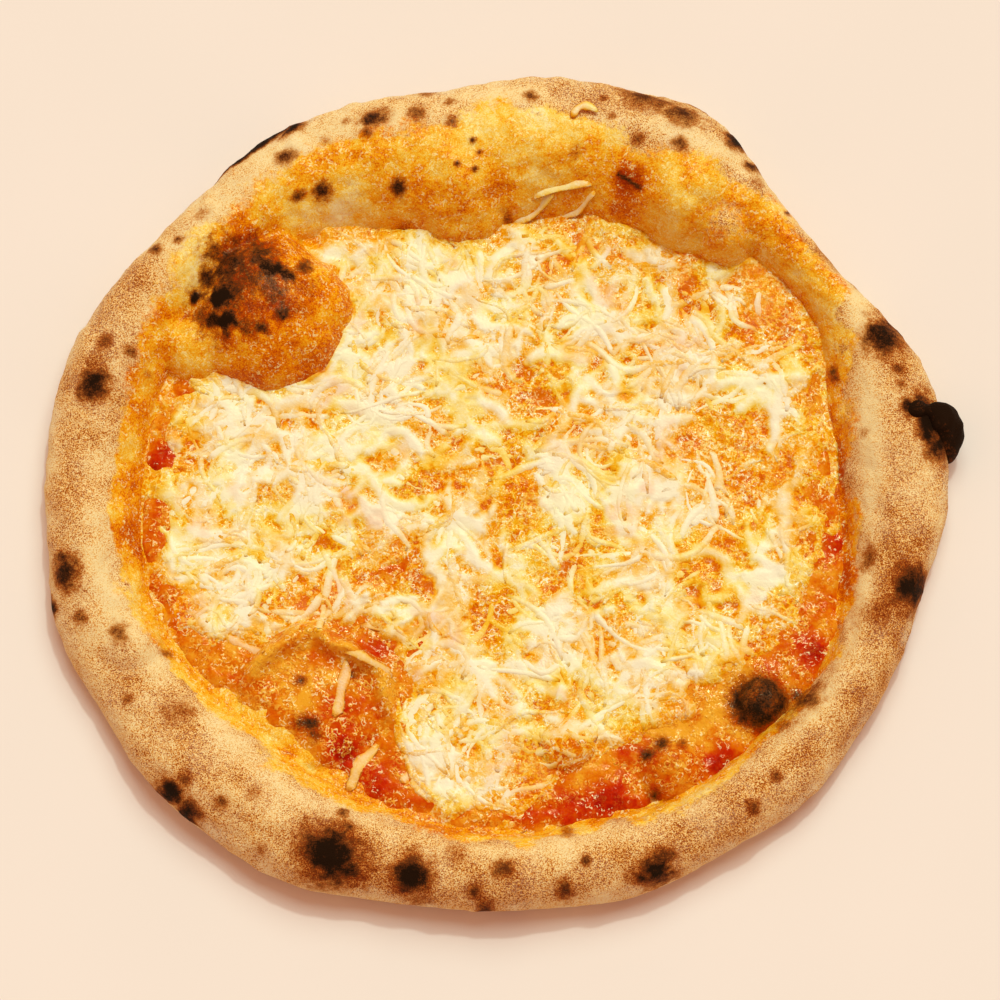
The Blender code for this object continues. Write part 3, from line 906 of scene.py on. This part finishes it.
# %% The sauce piece
# Where the sauce shows red: (angle, distance, radius, strength). Elsewhere oil has turned it amber.
RED_PLACES = ((178, 119, 5, 0.9), (174, 118, 5, 0.9), (190.5, 124, 6, 0.6), (241, 108, 7, 0.8),
              (249, 114, 8, 1.0), (233, 72, 5, 0.8), (225, 80, 5, 0.5), (228, 118, 6, 0.5),
              (236, 99, 6, 0.6), (244, 92, 6, 0.35), (218, 92, 5, 0.4), (283, 118, 8, 0.8),
              (290, 119, 8, 1.1), (308, 124.5, 7, 1.2), (331.5, 123, 6, 1.1), (8, 120, 6, 0.6),
              (350, 118, 6, 0.8), (296, 107, 6, 0.4), (275, 118, 6, 0.6), (128, 80, 7, 0.4),
              (198, 121, 5, 0.4))
# Where it is a paler gold than elsewhere, charred, and covered in foam.
GOLDEN_PLACES = ((226, 95, 13, 0.20), (285.5, 94, 8, 0.30), (292, 104, 6, 0.20), (213, 103, 10, 0.15),
                 (314, 107, 8, 0.30), (321, 106, 6, 0.25), (313, 122, 5, 0.30), (303, 104, 6, 0.25),
                 (308, 109, 8, 0.35))
SAUCE_CHAR = ((319.5, 117.5, 8.0, 1.9), (319.4, 111.5, 3.2, 0.40), (317.6, 119, 3.5, 0.45),
              (321.6, 123, 3, 0.35), (324.5, 126, 2.2, 0.7), (231.3, 107.4, 3.2, 0.80),
              (233.2, 105, 2.4, 0.70), (235, 108, 2.4, 0.75), (225.8, 96.5, 2.4, 0.72),
              (233.7, 83.2, 2.2, 0.70), (298.3, 107.7, 2.4, 0.8), (301.8, 106.8, 2.6, 0.85),
              (304.7, 111, 2.2, 0.6), (296.1, 121.6, 2.4, 0.75), (298.4, 127.3, 2.0, 0.6),
              (300, 114, 9, 0.20), (314, 87, 2.5, 0.6))
FROTHY_PLACES = ((300, 116, 9, 1.1), (238, 104, 9, 0.9), (221, 112, 7, 0.6))
# Patches that overlap add up to no more than this.
MOST_RED = 1.1
MOST_CHAR = 0.88

flat_place = sauce_rings[..., 0], sauce_rings[..., 1]
ridge = sunken_ridge(*flat_place)
from_rim = np.concatenate([0 * sauce_edge[None], sauce_edge - sauce_radius])
red = np.minimum(patches(*flat_place, RED_PLACES), MOST_RED)
# Along the sunken bubble's ridge the amber is lighter, a painted highlight.
amber = (0.69 - 0.68 * red + patches(*flat_place, GOLDEN_PLACES) + 0.12 * lumps(sauce_rings, 7.0, 64, 2)
         + 0.075 * ridge + 0.14 * (1 - smooth_step(0.0, 9.0, from_rim)))
sauce_char = np.minimum(patches(*flat_place, SAUCE_CHAR), MOST_CHAR)
sauce_char = sauce_char * (1 + 0.25 * lumps(sauce_rings, 3.2, 65, 2))
# The ridge also gets more foam, whose painted glints mark its crest.
froth = patches(*flat_place, FROTHY_PLACES) + 0.12 * ridge
sauce = make_piece("tomato_sauce", shell_points(sauce_rings), shell_faces(SAUCE_RINGS + 1, SAUCE_SPOKES),
                   sauce_material, "tomato_sauce", **shell_marks(amber=amber, burn=sauce_char, froth=froth))
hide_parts("tomato_sauce")

# %% [markdown]
# ## The cheese
# The mozzarella went on as shreds three or four millimetres wide. Some melted flat into a golden, oily,
# bubbly sheet and the rest lie half sunk in it. So the cheese is two pieces: a sheet whose height swells
# over each shred that melted in, and the shreds that kept their shape, as thin strips carried along
# curved paths. All shreds are laid out first, because the sheet takes its height and colour from them.

# %% Where the cheese is thick, and where it has run to oil: (x, y, radius, strength)
THICK = ((-89, 25, 17, 1.0), (-65, 7, 14, 1.0), (-85, -18, 16, 0.9), (-23, 79, 14, 0.9), (8, 80, 16, 0.9),
         (36, 70, 16, 1.1), (63, 43, 16, 1.1), (49, 21, 14, 1.0), (-6, 53, 14, 0.9), (-37, 35, 14, 1.0),
         (-9, 17, 12, 0.9), (22, -4, 16, 1.0), (60, -4, 16, 1.0), (-58, -18, 14, 0.9), (-47, -47, 12, 0.9),
         (-16, -62, 14, 0.9), (-16, -87, 16, 1.0), (4, -106, 11, 1.2), (-12, -98, 13, 1.2),
         (25, -54, 14, 0.9), (53, -47, 17, 1.1), (67, -65, 12, 1.0), (98, -36, 13, 1.1), (95, 20, 12, 0.6),
         (103, -8, 10, 0.7), (86, 50, 12, 0.6), (72, 76, 10, 0.6), (52, 88, 10, 0.8), (-102, -28, 13, 1.0),
         (-91, -44, 11, 0.9), (-56, 86, 12, 1.0), (-44, 74, 11, 0.8), (-108, 36, 9, 0.8))
RUN_TO_OIL = ((-20, 52, 8, 1.0), (-12, 32, 7, 1.0), (6, 43, 7, 0.9), (33, 49, 6, 0.9), (49, 36, 8, 1.0),
              (17, 34, 6, 0.8), (1, 12, 8, 0.8), (-21, 7, 7, 0.8), (-35, 17, 5, 0.7), (39, 7, 6, 0.8),
              (70, -31, 10, 1.0), (22, -36, 9, 1.0), (-40, -31, 8, 0.6), (-23, -36, 7, 0.8),
              (-107, -48, 6, 0.5), (-68, -31, 7, 0.3), (3, -69, 6, 0.8), (32, -54, 8, 0.7),
              (-6, -47, 7, 0.8), (94, 57, 10, 0.7), (91, 25, 9, 0.6), (105, -4, 7, 0.9), (84, 3, 7, 0.8),
              (-89, 3, 5, 0.6), (-58, -4, 6, 0.7), (27, -90, 9, 0.6), (25, 86, 8, 0.7), (67, 68, 7, 0.7),
              (-100, 10, 6, 0.5), (90, -60, 10, 0.9))
SAUCE_SHOWS = ((-82, -67, 7, 1.0), (-52, -97, 9, 1.0), (-42, -104, 7, 1.0), (30, -110, 10, 1.0),
               (48, -104, 9, 1.0), (-119, 12, 8, 1.0), (-121, -10, 8, 1.0), (74, -95, 9, 1.0),
               (104, -66, 8, 0.9), (-45, -62, 5, 0.7), (-40, -72, 5, 0.8))
print("thick places:", len(THICK), "oily places:", len(RUN_TO_OIL))

# %% Shreds: paths on the pizza
STATIONS = 9
# Bundles may start this far from the middle, in mm, and so many places are tried for each of them.
BUNDLE_REACH = 124
TRIES_FOR_EACH = 5
along = np.linspace(0, 1, STATIONS)


def cheese_ragged(points):
    """How ragged the cheese's edge is, about -1 to 1. Its height, its marks and its shreds share it."""
    return lumps(points, 9.0, 81, 3)


def unit_steps(path):
    """Unit vectors along each path: the difference between neighbouring stations, over its length."""
    way = np.gradient(path, axis=1)
    return way / np.linalg.norm(way, axis=-1, keepdims=True)


def to_the_left(way):
    """The steps turned a quarter turn: (x, y) becomes (-y, x)."""
    return np.stack([-way[..., 1], way[..., 0]], -1)


def crown_left(own):
    """How much of a shred's crown is left, from 0.45 to 1, by the shred's own random number."""
    return (0.45 + 0.55 * own)[:, None, None]


def lay_shreds(seed, bundles, shortest, longest, narrowest, widest_mm):
    """Curved paths in bundles. A heading drifts slowly over the pizza, and each path bends and wavers.

    Returns the paths, their unit steps and widths at each station, and each one's phase and random number.
    """
    random = np.random.default_rng(seed)
    tries = TRIES_FOR_EACH * bundles
    seed_radius = BUNDLE_REACH * np.sqrt(random.uniform(0, 1, tries))
    seed_angle = random.uniform(0, 2 * math.pi, tries)
    seed_x, seed_y = seed_radius * np.cos(seed_angle), seed_radius * np.sin(seed_angle)
    liking = (0.42 + 0.7 * largest_patch(seed_x, seed_y, THICK)
              - 0.65 * largest_patch(seed_x, seed_y, RUN_TO_OIL)
              - 1.5 * largest_patch(seed_x, seed_y, SAUCE_SHOWS))
    room = around(CHEESE_EDGE, seed_angle) - 3 - seed_radius
    kept = np.nonzero((random.uniform(0, 1, tries) < liking) & (room > 0))[0][:bundles]
    owner = np.repeat(kept, random.integers(1, 4, len(kept)))
    count = len(owner)
    start = np.stack([seed_x[owner], seed_y[owner]], -1) + random.normal(0, 2.8, (count, 2))
    heading = 2 * math.pi * lumps(start, 34.0, 71) + random.normal(0, 0.5, count)
    length = random.uniform(shortest, longest, count)
    bend = random.normal(0, 0.055, count)
    waver = random.normal(0, 0.40, count)
    phase = random.uniform(0, 2 * math.pi, count)[:, None]
    turned = heading[:, None] + (bend * length)[:, None] * (along - 0.5)
    turned = turned + waver[:, None] * np.sin(2 * math.pi * along + phase)
    way = np.stack([np.cos(turned), np.sin(turned)], -1)
    path = np.cumsum(way * (length / (STATIONS - 1))[:, None, None], axis=1)
    path = path - path.mean(axis=1, keepdims=True) + start[:, None]
    radius = np.hypot(path[..., 0], path[..., 1])
    limit = edge_towards(CHEESE_EDGE, path[..., 0], path[..., 1]) - 2.0
    limit = limit + random.uniform(0, 4, count)[:, None] + 3.0 * cheese_ragged(path)
    path = path * (np.minimum(radius, limit) / radius)[..., None]
    width = random.uniform(narrowest, widest_mm, count)[:, None] * (1 - 0.5 * np.abs(2 * along - 1) ** 8)
    width = width * (1 + 0.18 * np.sin(6 * along + phase))
    return path, unit_steps(path), width, phase, random.uniform(0, 1, count)


melted_in = lay_shreds(7, 230, 12, 36, 2.8, 5.2)
whole = lay_shreds(8, 330, 10, 36, 1.8, 3.3)
print("melted-in shreds:", len(melted_in[0]), "whole shreds:", len(whole[0]))

# %% A map of the shreds on a fine raster
RASTER_STEP = 0.4
RASTER_HALF = 130.0
raster_count = int(2 * RASTER_HALF / RASTER_STEP) + 1
STAMPS_ALONG = 90
STAMPS_ACROSS = 15


def spread(field, sigma_mm):
    """Gaussian blur of a raster, done as a product of its Fourier transform."""
    rows = np.fft.fftfreq(field.shape[0], RASTER_STEP)[:, None]
    columns = np.fft.rfftfreq(field.shape[1], RASTER_STEP)
    fall = np.exp(-2 * (math.pi * sigma_mm) ** 2 * (rows**2 + columns**2))
    return np.fft.irfft2(np.fft.rfft2(field) * fall, field.shape)


def read_raster(field, x, y):
    """The raster's value at any place, blended between its four nearest points."""
    u = np.clip((x + RASTER_HALF) / RASTER_STEP, 0, raster_count - 1.001)
    v = np.clip((y + RASTER_HALF) / RASTER_STEP, 0, raster_count - 1.001)
    i, j = u.astype(int), v.astype(int)
    f, g = u - i, v - j
    near = field[i, j] * (1 - f) + field[i + 1, j] * f
    far = field[i, j + 1] * (1 - f) + field[i + 1, j + 1] * f
    return near * (1 - g) + far * g


def stamp(field, shreds, crown_height):
    """Presses each shred's oval crown into the raster, keeping the higher value where shreds cross."""
    path, way, width, _, own = shreds
    place = np.linspace(0, STATIONS - 1, STAMPS_ALONG)
    low = np.minimum(place.astype(int), STATIONS - 2)
    part = (place - low)[:, None]
    middle_line, forward, full_width = (
        values[:, low] * (1 - part) + values[:, low + 1] * part for values in (path, way, width[..., None]))
    across = np.linspace(-1, 1, STAMPS_ACROSS)
    spots = (middle_line[:, :, None]
             + to_the_left(forward)[:, :, None] * (full_width / 2 * across)[..., None])
    crown = crown_height * crown_left(own) * np.sqrt(1 - 0.8 * across**2)
    crown = np.broadcast_to(crown, spots.shape[:-1])
    cells = np.rint((spots + RASTER_HALF) / RASTER_STEP).astype(int).clip(0, raster_count - 1)
    np.maximum.at(field, (cells[..., 0].ravel(), cells[..., 1].ravel()), crown.ravel())
    return field


melted_map = stamp(np.zeros((raster_count, raster_count)), melted_in, 1.0)
both_maps = stamp(melted_map.copy(), whole, 0.6)
melted_crisp = spread(melted_map, 0.5)
both_soft = spread(both_maps, 1.0)
both_wide = spread(both_maps, 4.0)
covered = (both_maps > 0.2).sum() * RASTER_STEP**2 / (math.pi * 110**2)
print("share of the cheese that shreds cover:", round(float(covered), 2))

# %% Sheet of melted cheese
SHEET_CELLS = 306
# The sheet runs this far past its listed edge, where it dips this far under the sauce's top.
CHEESE_OVERLAP = 7.0
CHEESE_DIP = 1.6


def square_to_disc(count):
    """A square grid bent onto a disc: each square ring becomes a circle. Returns share and angle."""
    line = np.linspace(-1, 1, count + 1)
    u, v = np.meshgrid(line, line, indexing="ij")
    wide = np.abs(u) > np.abs(v)
    safe_u = np.where(u == 0, 1e-9, u)
    safe_v = np.where(v == 0, 1e-9, v)
    reach_share = np.where(wide, u, v)
    turn = np.where(wide, math.pi / 4 * v / safe_u, math.pi / 2 - math.pi / 4 * u / safe_v)
    x, y = reach_share * np.cos(turn), reach_share * np.sin(turn)
    return np.hypot(x, y), np.arctan2(y, x)


def inside_cheese(x, y, overlap=CHEESE_OVERLAP):
    """Distance in from the cheese's edge plus an overlap: (edge - r) / sqrt(1 + (slope / r) ** 2)."""
    turn = np.arctan2(y, x)
    reach_here = np.hypot(x, y)
    slope = (around(CHEESE_EDGE, turn + 0.05) - around(CHEESE_EDGE, turn - 0.05)) / 0.10
    room = around(CHEESE_EDGE, turn) + overlap - reach_here
    return room / np.hypot(1, slope / np.maximum(reach_here, 30))


def cheese_holes(x, y):
    """Small places, from 0 to 1, where the melt drew apart and clear fat filled the gap."""
    points = np.stack([x, y], -1)
    return smooth_step(0.42, 0.70, lumps(points, 4.6, 86, 2) + 0.25 * lumps(points, 17.0, 87))


def lapping(x, y):
    """How far, from 0 to 1, the cheese leans up the flank of a tall bubble here."""
    lapped = topping_base(x, y) - sunken_ridge(x, y) - dough_base(x, y, LOW_BUBBLE_TOP)
    return smooth_step(0.2, 1.2, lapped)


def cheese_height(x, y, inside):
    """Top of the cheese sheet: the sauce, plus a depth that grows from the edge and over each shred."""
    points = np.stack([x, y], -1)
    from_edge = smooth_step(0, 12, inside + 5.0 * cheese_ragged(points)) * smooth_step(0, 3, inside)
    oil = largest_patch(x, y, RUN_TO_OIL)
    depth = 0.60 + 0.45 * lumps(points, 8.0, 82, 2) - 0.3 * oil
    depth = depth + 0.50 * read_raster(melted_crisp, x, y) + 0.45 * read_raster(both_soft, x, y)
    depth = depth + 0.08 * lumps(points, 2.4, 83) - 0.45 * cheese_holes(x, y) - 0.8 * lapping(x, y)
    depth = np.maximum(depth, sauce_relief(points) + 0.12) - 2.2 * largest_patch(x, y, SAUCE_SHOWS)
    return topping_base(x, y) + SAUCE_DEPTH - CHEESE_DIP + (CHEESE_DIP + depth) * from_edge


share, turn = square_to_disc(SHEET_CELLS)
edge = around(CHEESE_EDGE, turn) + CHEESE_OVERLAP
sheet_x, sheet_y = share * edge * np.cos(turn), share * edge * np.sin(turn)
sheet_z = cheese_height(sheet_x, sheet_y, inside_cheese(sheet_x, sheet_y))
sheet_points = np.stack([sheet_x, sheet_y, sheet_z], -1).reshape(-1, 3)
side = SHEET_CELLS + 1
cell = (np.arange(SHEET_CELLS)[:, None] * side + np.arange(SHEET_CELLS)).ravel()
sheet_faces = np.stack([cell, cell + side, cell + side + 1, cell + 1], -1).tolist()
number = np.arange(side * side).reshape(side, side)
loop = np.concatenate([number[:-1, 0], number[-1, :-1], number[:0:-1, -1], number[0, :0:-1]])
low_loop = side * side + np.arange(len(loop))
sheet_faces += np.stack([loop, np.roll(loop, 1), np.roll(low_loop, 1), low_loop], -1).tolist()
sheet_faces += np.stack([np.roll(low_loop, -1), low_loop, 0 * loop + side * side + len(loop)], -1).tolist()
sheet_points = np.concatenate([sheet_points, tuck_under(sheet_points[loop]), [[0, 0, UNDER_LEVEL]]])
print("sheet points:", len(sheet_points))

# %% Marks: how much of a strand, cream, froth and tomato there is at each point
EDGE_CREAM = 0.22


def cheese_marks(x, y, strand):
    """The four marks at points of the cheese. Near its edge the strands and the cream fade into oil."""
    points = np.stack([x, y], -1)
    from_edge = smooth_step(-2, 8, inside_cheese(x, y, 0.0) + 5.0 * cheese_ragged(points))
    mass = 0.6 * read_raster(both_wide, x, y) + 0.4 * largest_patch(x, y, THICK)
    oil = largest_patch(x, y, RUN_TO_OIL)
    cream = (0.205 + 0.16 * lumps(points, 10.0, 88, 2) + 0.16 * lumps(points, 4.0, 89, 2)
             + 0.24 * mass + 0.76 * strand - 0.24 * oil
             - 0.36 * cheese_holes(x, y) * (1 - 0.6 * strand) - 0.35 * lapping(x, y))
    cream = EDGE_CREAM + (cream - EDGE_CREAM) * from_edge
    froth = 0.5 + 0.6 * lumps(points, 6.0, 90, 2) + 0.4 * oil - 0.5 * strand
    sauce_near = lumps(points, 13.0, 85, 2) + 0.9 * largest_patch(x, y, SAUCE_SHOWS)
    return {"strand": strand * (0.25 + 0.75 * from_edge), "cream": cream, "froth": froth,
            "tomato": smooth_step(0.2, 1.1, sauce_near) * smooth_step(-0.4, 0.5, lumps(points, 4.0, 91, 2))}


flat_x, flat_y = sheet_points[:, 0], sheet_points[:, 1]
sheet_marks = cheese_marks(flat_x, flat_y, read_raster(melted_crisp, flat_x, flat_y))
print("mean marks:", {name: float(values.mean().round(2)) for name, values in sheet_marks.items()})

# %% [markdown]
# ## The look of the cheese
# Melted mozzarella sets as pale cream with golden butterfat round it. The cream mark, two sizes of noise
# and a web of threads add up to one number, from orange fat to cream, and the foam lies over it where
# there is no strand, with its glints, highlights and shade painted into the colour.

# %% Melted cheese material
melt_material, tree, shader = new_material("melted cheese", Specular_IOR_Level=0.32,
                                           Specular_Tint=OILY_GLINT)
light, dark, height, painted_glint = foam_on(tree, 2.2)
strand_mark = step_between(attribute(tree, "strand") + unevenness(tree, (1.1, 0.8)), 0.15, 0.75)
not_strand = 1.0 - strand_mark
# Fine threads pulled from the melt: the lines where a noise passes 0.5, thin and joined in a web.
web = step_between(abs(noise(tree, 4.0, 2.0, 0.6) - 0.5), 0.0, 0.07, 0.34, 0.0)
texture = unevenness(tree, (1.8, 0.50), (0.5, 0.70)) + web
body = attribute(tree, "cream") + texture * step_between(not_strand, 0.0, 1.0, 0.25, 1.0)
melt = ramp(body, (0.0, 212, 92, 0), (0.12, 226, 120, 0), (0.25, 234, 140, 0), (0.38, 237, 158, 14),
            (0.50, 239, 175, 58), (0.62, 240, 189, 98), (0.76, 241, 204, 138), (0.88, 242, 215, 162),
            (1.0, 243, 225, 186))
buttery = ramp(body, (0.0, 214, 106, 0), (0.25, 233, 154, 0), (0.45, 238, 186, 36), (0.65, 241, 208, 94),
               (0.85, 243, 222, 142), (1.0, 244, 231, 180))
foam_cover = (step_between(strand_mark, 0.0, 1.0, 0.9, 0.1)
              * step_between(attribute(tree, "froth"), 0.2, 0.7, 0.15, 1.0))
# After the buttery patches and the tomato come the foam's darkening (partly painted shade), its painted
# highlights and its painted glints, where there is no strand.
for share, shade in ((step_between(noise(tree, 13.0, 0.0), 0.42, 0.62, 0.0, 0.65), buttery),
                     (0.30 * attribute(tree, "tomato"), colour(232, 124, 64)),
                     (0.45 * (dark * not_strand), colour(218, 110, 4)),
                     (0.75 * (light * foam_cover), colour(245, 216, 132)),
                     (painted_glint * foam_cover, colour(246, 236, 200))):
    melt = blend_colours(share, melt, shade)
finish_shader(shader, melt, step_between(strand_mark, 0.0, 1.0, 0.14, 0.32),
              height * not_strand + 0.8 * noise(tree, 1.0, 1.5, 0.6), depth_mm=0.25, strength=0.75)
print("the cheese's look is made of", len(tree.nodes), "nodes")

# %% The sheet piece
sheet = make_piece("melted_cheese", sheet_points, sheet_faces, melt_material, "melted_mozzarella",
                   **sheet_marks)
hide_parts("mozzarella")

# %% [markdown]
# ## The shreds
# Each shred that kept its shape is a low mound of a section carried along its path. Its foot is sunk in
# the sheet, and its ends are blunt. They share the sheet's material and marks, with the strand mark high
# along the crown and low at the sides, so a shred's sides have the colour of the melt that it lies in.

# %% Stray shreds: (x and y of one end, x and y of the other, bend, width)
STRAYS = ((-52, -62, -56, -82, 0.4, 3.0), (-41, -91, -51, -107, -0.5, 3.2), (-27, -97, -33, -104, 0.4, 2.6),
          (-47, -49, -20, -47, -0.4, 3.0), (-52, -60, -36, -68, 0.6, 2.2), (5, 96, 20, 106, -0.5, 2.8),
          (12, 103, 33, 107, 0.7, 2.4), (22, 98, 34, 105, -0.4, 2.2), (26, 129, 35, 131, 3.2, 2.2),
          (-96, -52, -80, -60, 0.4, 2.4))
# Laid shreds have a random number each. The strays share this one.
STRAY_OWN_NUMBER = 0.7


def dough_top(x, y):
    """Height of the dough under a place on the well or the inner wall, without its relief."""
    outer_here, foot_here, rim_here = (
        edge_towards(stations, x, y) for stations in (RIM_OUTER, RIM_FOOT, RIM_HEIGHT))
    crest_here = outer_here * (1 - CREST_WIDTH_SHARE) + CREST_WIDTH_SHARE * foot_here
    down_wall = np.clip((crest_here - np.hypot(x, y)) / (crest_here - foot_here), 0, 1)
    wall_here = BASE_THICKNESS + (rim_here - BASE_THICKNESS) * (1 - down_wall**INNER_WALL_FULLNESS)
    return np.maximum(dough_base(x, y), with_bubbles(x, y, wall_here))


def stray_paths(rows):
    """Arcs between two ends: the chord, plus bend * sin(pi * share) and a small sin(3 * pi * share) aside.

    Returns what lay_shreds returns.
    """
    x_a, y_a, x_b, y_b, bend, width_mm = np.array(rows).T[:, :, None]
    length = np.hypot(x_b - x_a, y_b - y_a)
    bulge = 0.12 * bend * length * np.sin(math.pi * along) + 0.02 * length * np.sin(3 * math.pi * along)
    path = np.stack([x_a + (x_b - x_a) * along - bulge * (y_b - y_a) / length,
                     y_a + (y_b - y_a) * along + bulge * (x_b - x_a) / length], -1)
    width = width_mm * (1 - 0.6 * np.abs(2 * along - 1) ** 6) * (1 + 0.22 * np.sin(11 * along + x_a))
    return path, unit_steps(path), width, 0.1 * x_a, 0 * x_a[:, 0] + STRAY_OWN_NUMBER

# %% Shreds as one mesh
SECTION_ACROSS = np.array([1.15, 0.85, 0.5, 0.0, -0.5, -0.85, -1.15, -0.6, 0.0, 0.6])
SECTION_UP = np.array([-0.75, -0.12, 0.32, 0.48, 0.32, -0.12, -0.75, -1.0, -1.0, -1.0])
SECTION_STRAND = np.array([0.4, 0.65, 0.9, 1.0, 0.9, 0.65, 0.4, 0.3, 0.3, 0.3])
SECTION = len(SECTION_UP)
path, way, shred_width, phase, own = (
    np.concatenate(parts) for parts in zip(whole, stray_paths(STRAYS)))
count = len(path)
is_stray = np.arange(count) >= count - len(STRAYS)
random = np.random.default_rng(9)
path_x, path_y = path[..., 0], path[..., 1]
# Each shred lies on the cheese, or sunk a little in the sauce where it runs past the cheese. A stray
# lies just over the sauce or the dough. Near its edge the sheet is read as if this far inside it, in mm.
LEAST_INSIDE = 6.0
SINK_IN_SAUCE = 0.2
STRAY_OVER_SAUCE = 0.1
STRAY_OVER_DOUGH = 0.3
STRAY_LIFT = 0.3
bed = cheese_height(path_x, path_y, np.maximum(inside_cheese(path_x, path_y), LEAST_INSIDE))
sauce_inside = edge_towards(SAUCE_EDGE, path_x, path_y) + SAUCE_OVERLAP - np.hypot(path_x, path_y)
sauce_bed = sauce_height(path_x, path_y, sauce_inside)
stray_bed = np.maximum(sauce_bed + STRAY_OVER_SAUCE, dough_top(path_x, path_y) + STRAY_OVER_DOUGH)
bed = np.where(is_stray[:, None], stray_bed, np.maximum(bed, sauce_bed - SINK_IN_SAUCE))
lift = random.uniform(-0.30, -0.08, count)[:, None] + STRAY_LIFT * is_stray[:, None]
lift = lift + 0.08 * np.sin(3 * along + phase)
thickness = random.uniform(0.55, 0.90, count) - 0.25 * is_stray
thickness = thickness[:, None] * (shred_width / shred_width.max(axis=1, keepdims=True))
reach_across = shred_width[..., None] * 0.6 * SECTION_ACROSS
section_xy = path[:, :, None] + to_the_left(way)[:, :, None] * reach_across[..., None]
section_x, section_y = section_xy[..., 0], section_xy[..., 1]
under_it = cheese_height(section_x, section_y, inside_cheese(section_x, section_y))
# The low points of a section follow what lies under each of them, so no gap shows. The crown is stiffer.
stiffness = np.where(is_stray[:, None, None], 1.0, 0.55 * (SECTION_UP > 0))
rest_level = np.minimum(under_it, bed[..., None] + 0.3) * (1 - stiffness) + bed[..., None] * stiffness
section_z = rest_level + lift[..., None] + thickness[..., None] * SECTION_UP
shred_points = np.concatenate([section_xy, section_z[..., None]], -1)
base_index = np.arange(count)[:, None, None] * STATIONS * SECTION
ring_index = base_index + (np.arange(STATIONS - 1) * SECTION)[:, None]
here = ring_index + np.arange(SECTION)
beside = ring_index + (np.arange(SECTION) + 1) % SECTION
shred_quads = np.stack([here, beside, beside + SECTION, here + SECTION], -1).reshape(-1, 4).tolist()
first_cap = (base_index[:, 0] + np.arange(SECTION)[::-1]).tolist()
last_cap = (base_index[:, 0] + (STATIONS - 1) * SECTION + np.arange(SECTION)).tolist()
crown = crown_left(own) * SECTION_STRAND * (1 - 0.6 * np.abs(2 * along - 1) ** 10)[:, None]
shred_marks = cheese_marks(shred_points[..., 0], shred_points[..., 1], crown)
at_back = shred_points[..., 1] > 0
for mark, value in (("strand", 0.85 * crown), ("cream", 0.94 * crown), ("froth", 0.3),
                    ("tomato", 0.9 - 0.875 * at_back)):
    shred_marks[mark] = np.where(is_stray[:, None, None], value, shred_marks[mark])
print("shreds in the mesh:", count)

# %% The shreds piece
shreds = make_piece("cheese_shreds", shred_points, shred_quads + first_cap + last_cap, melt_material,
                    "melted_mozzarella", **shred_marks)
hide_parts("mozzarella")
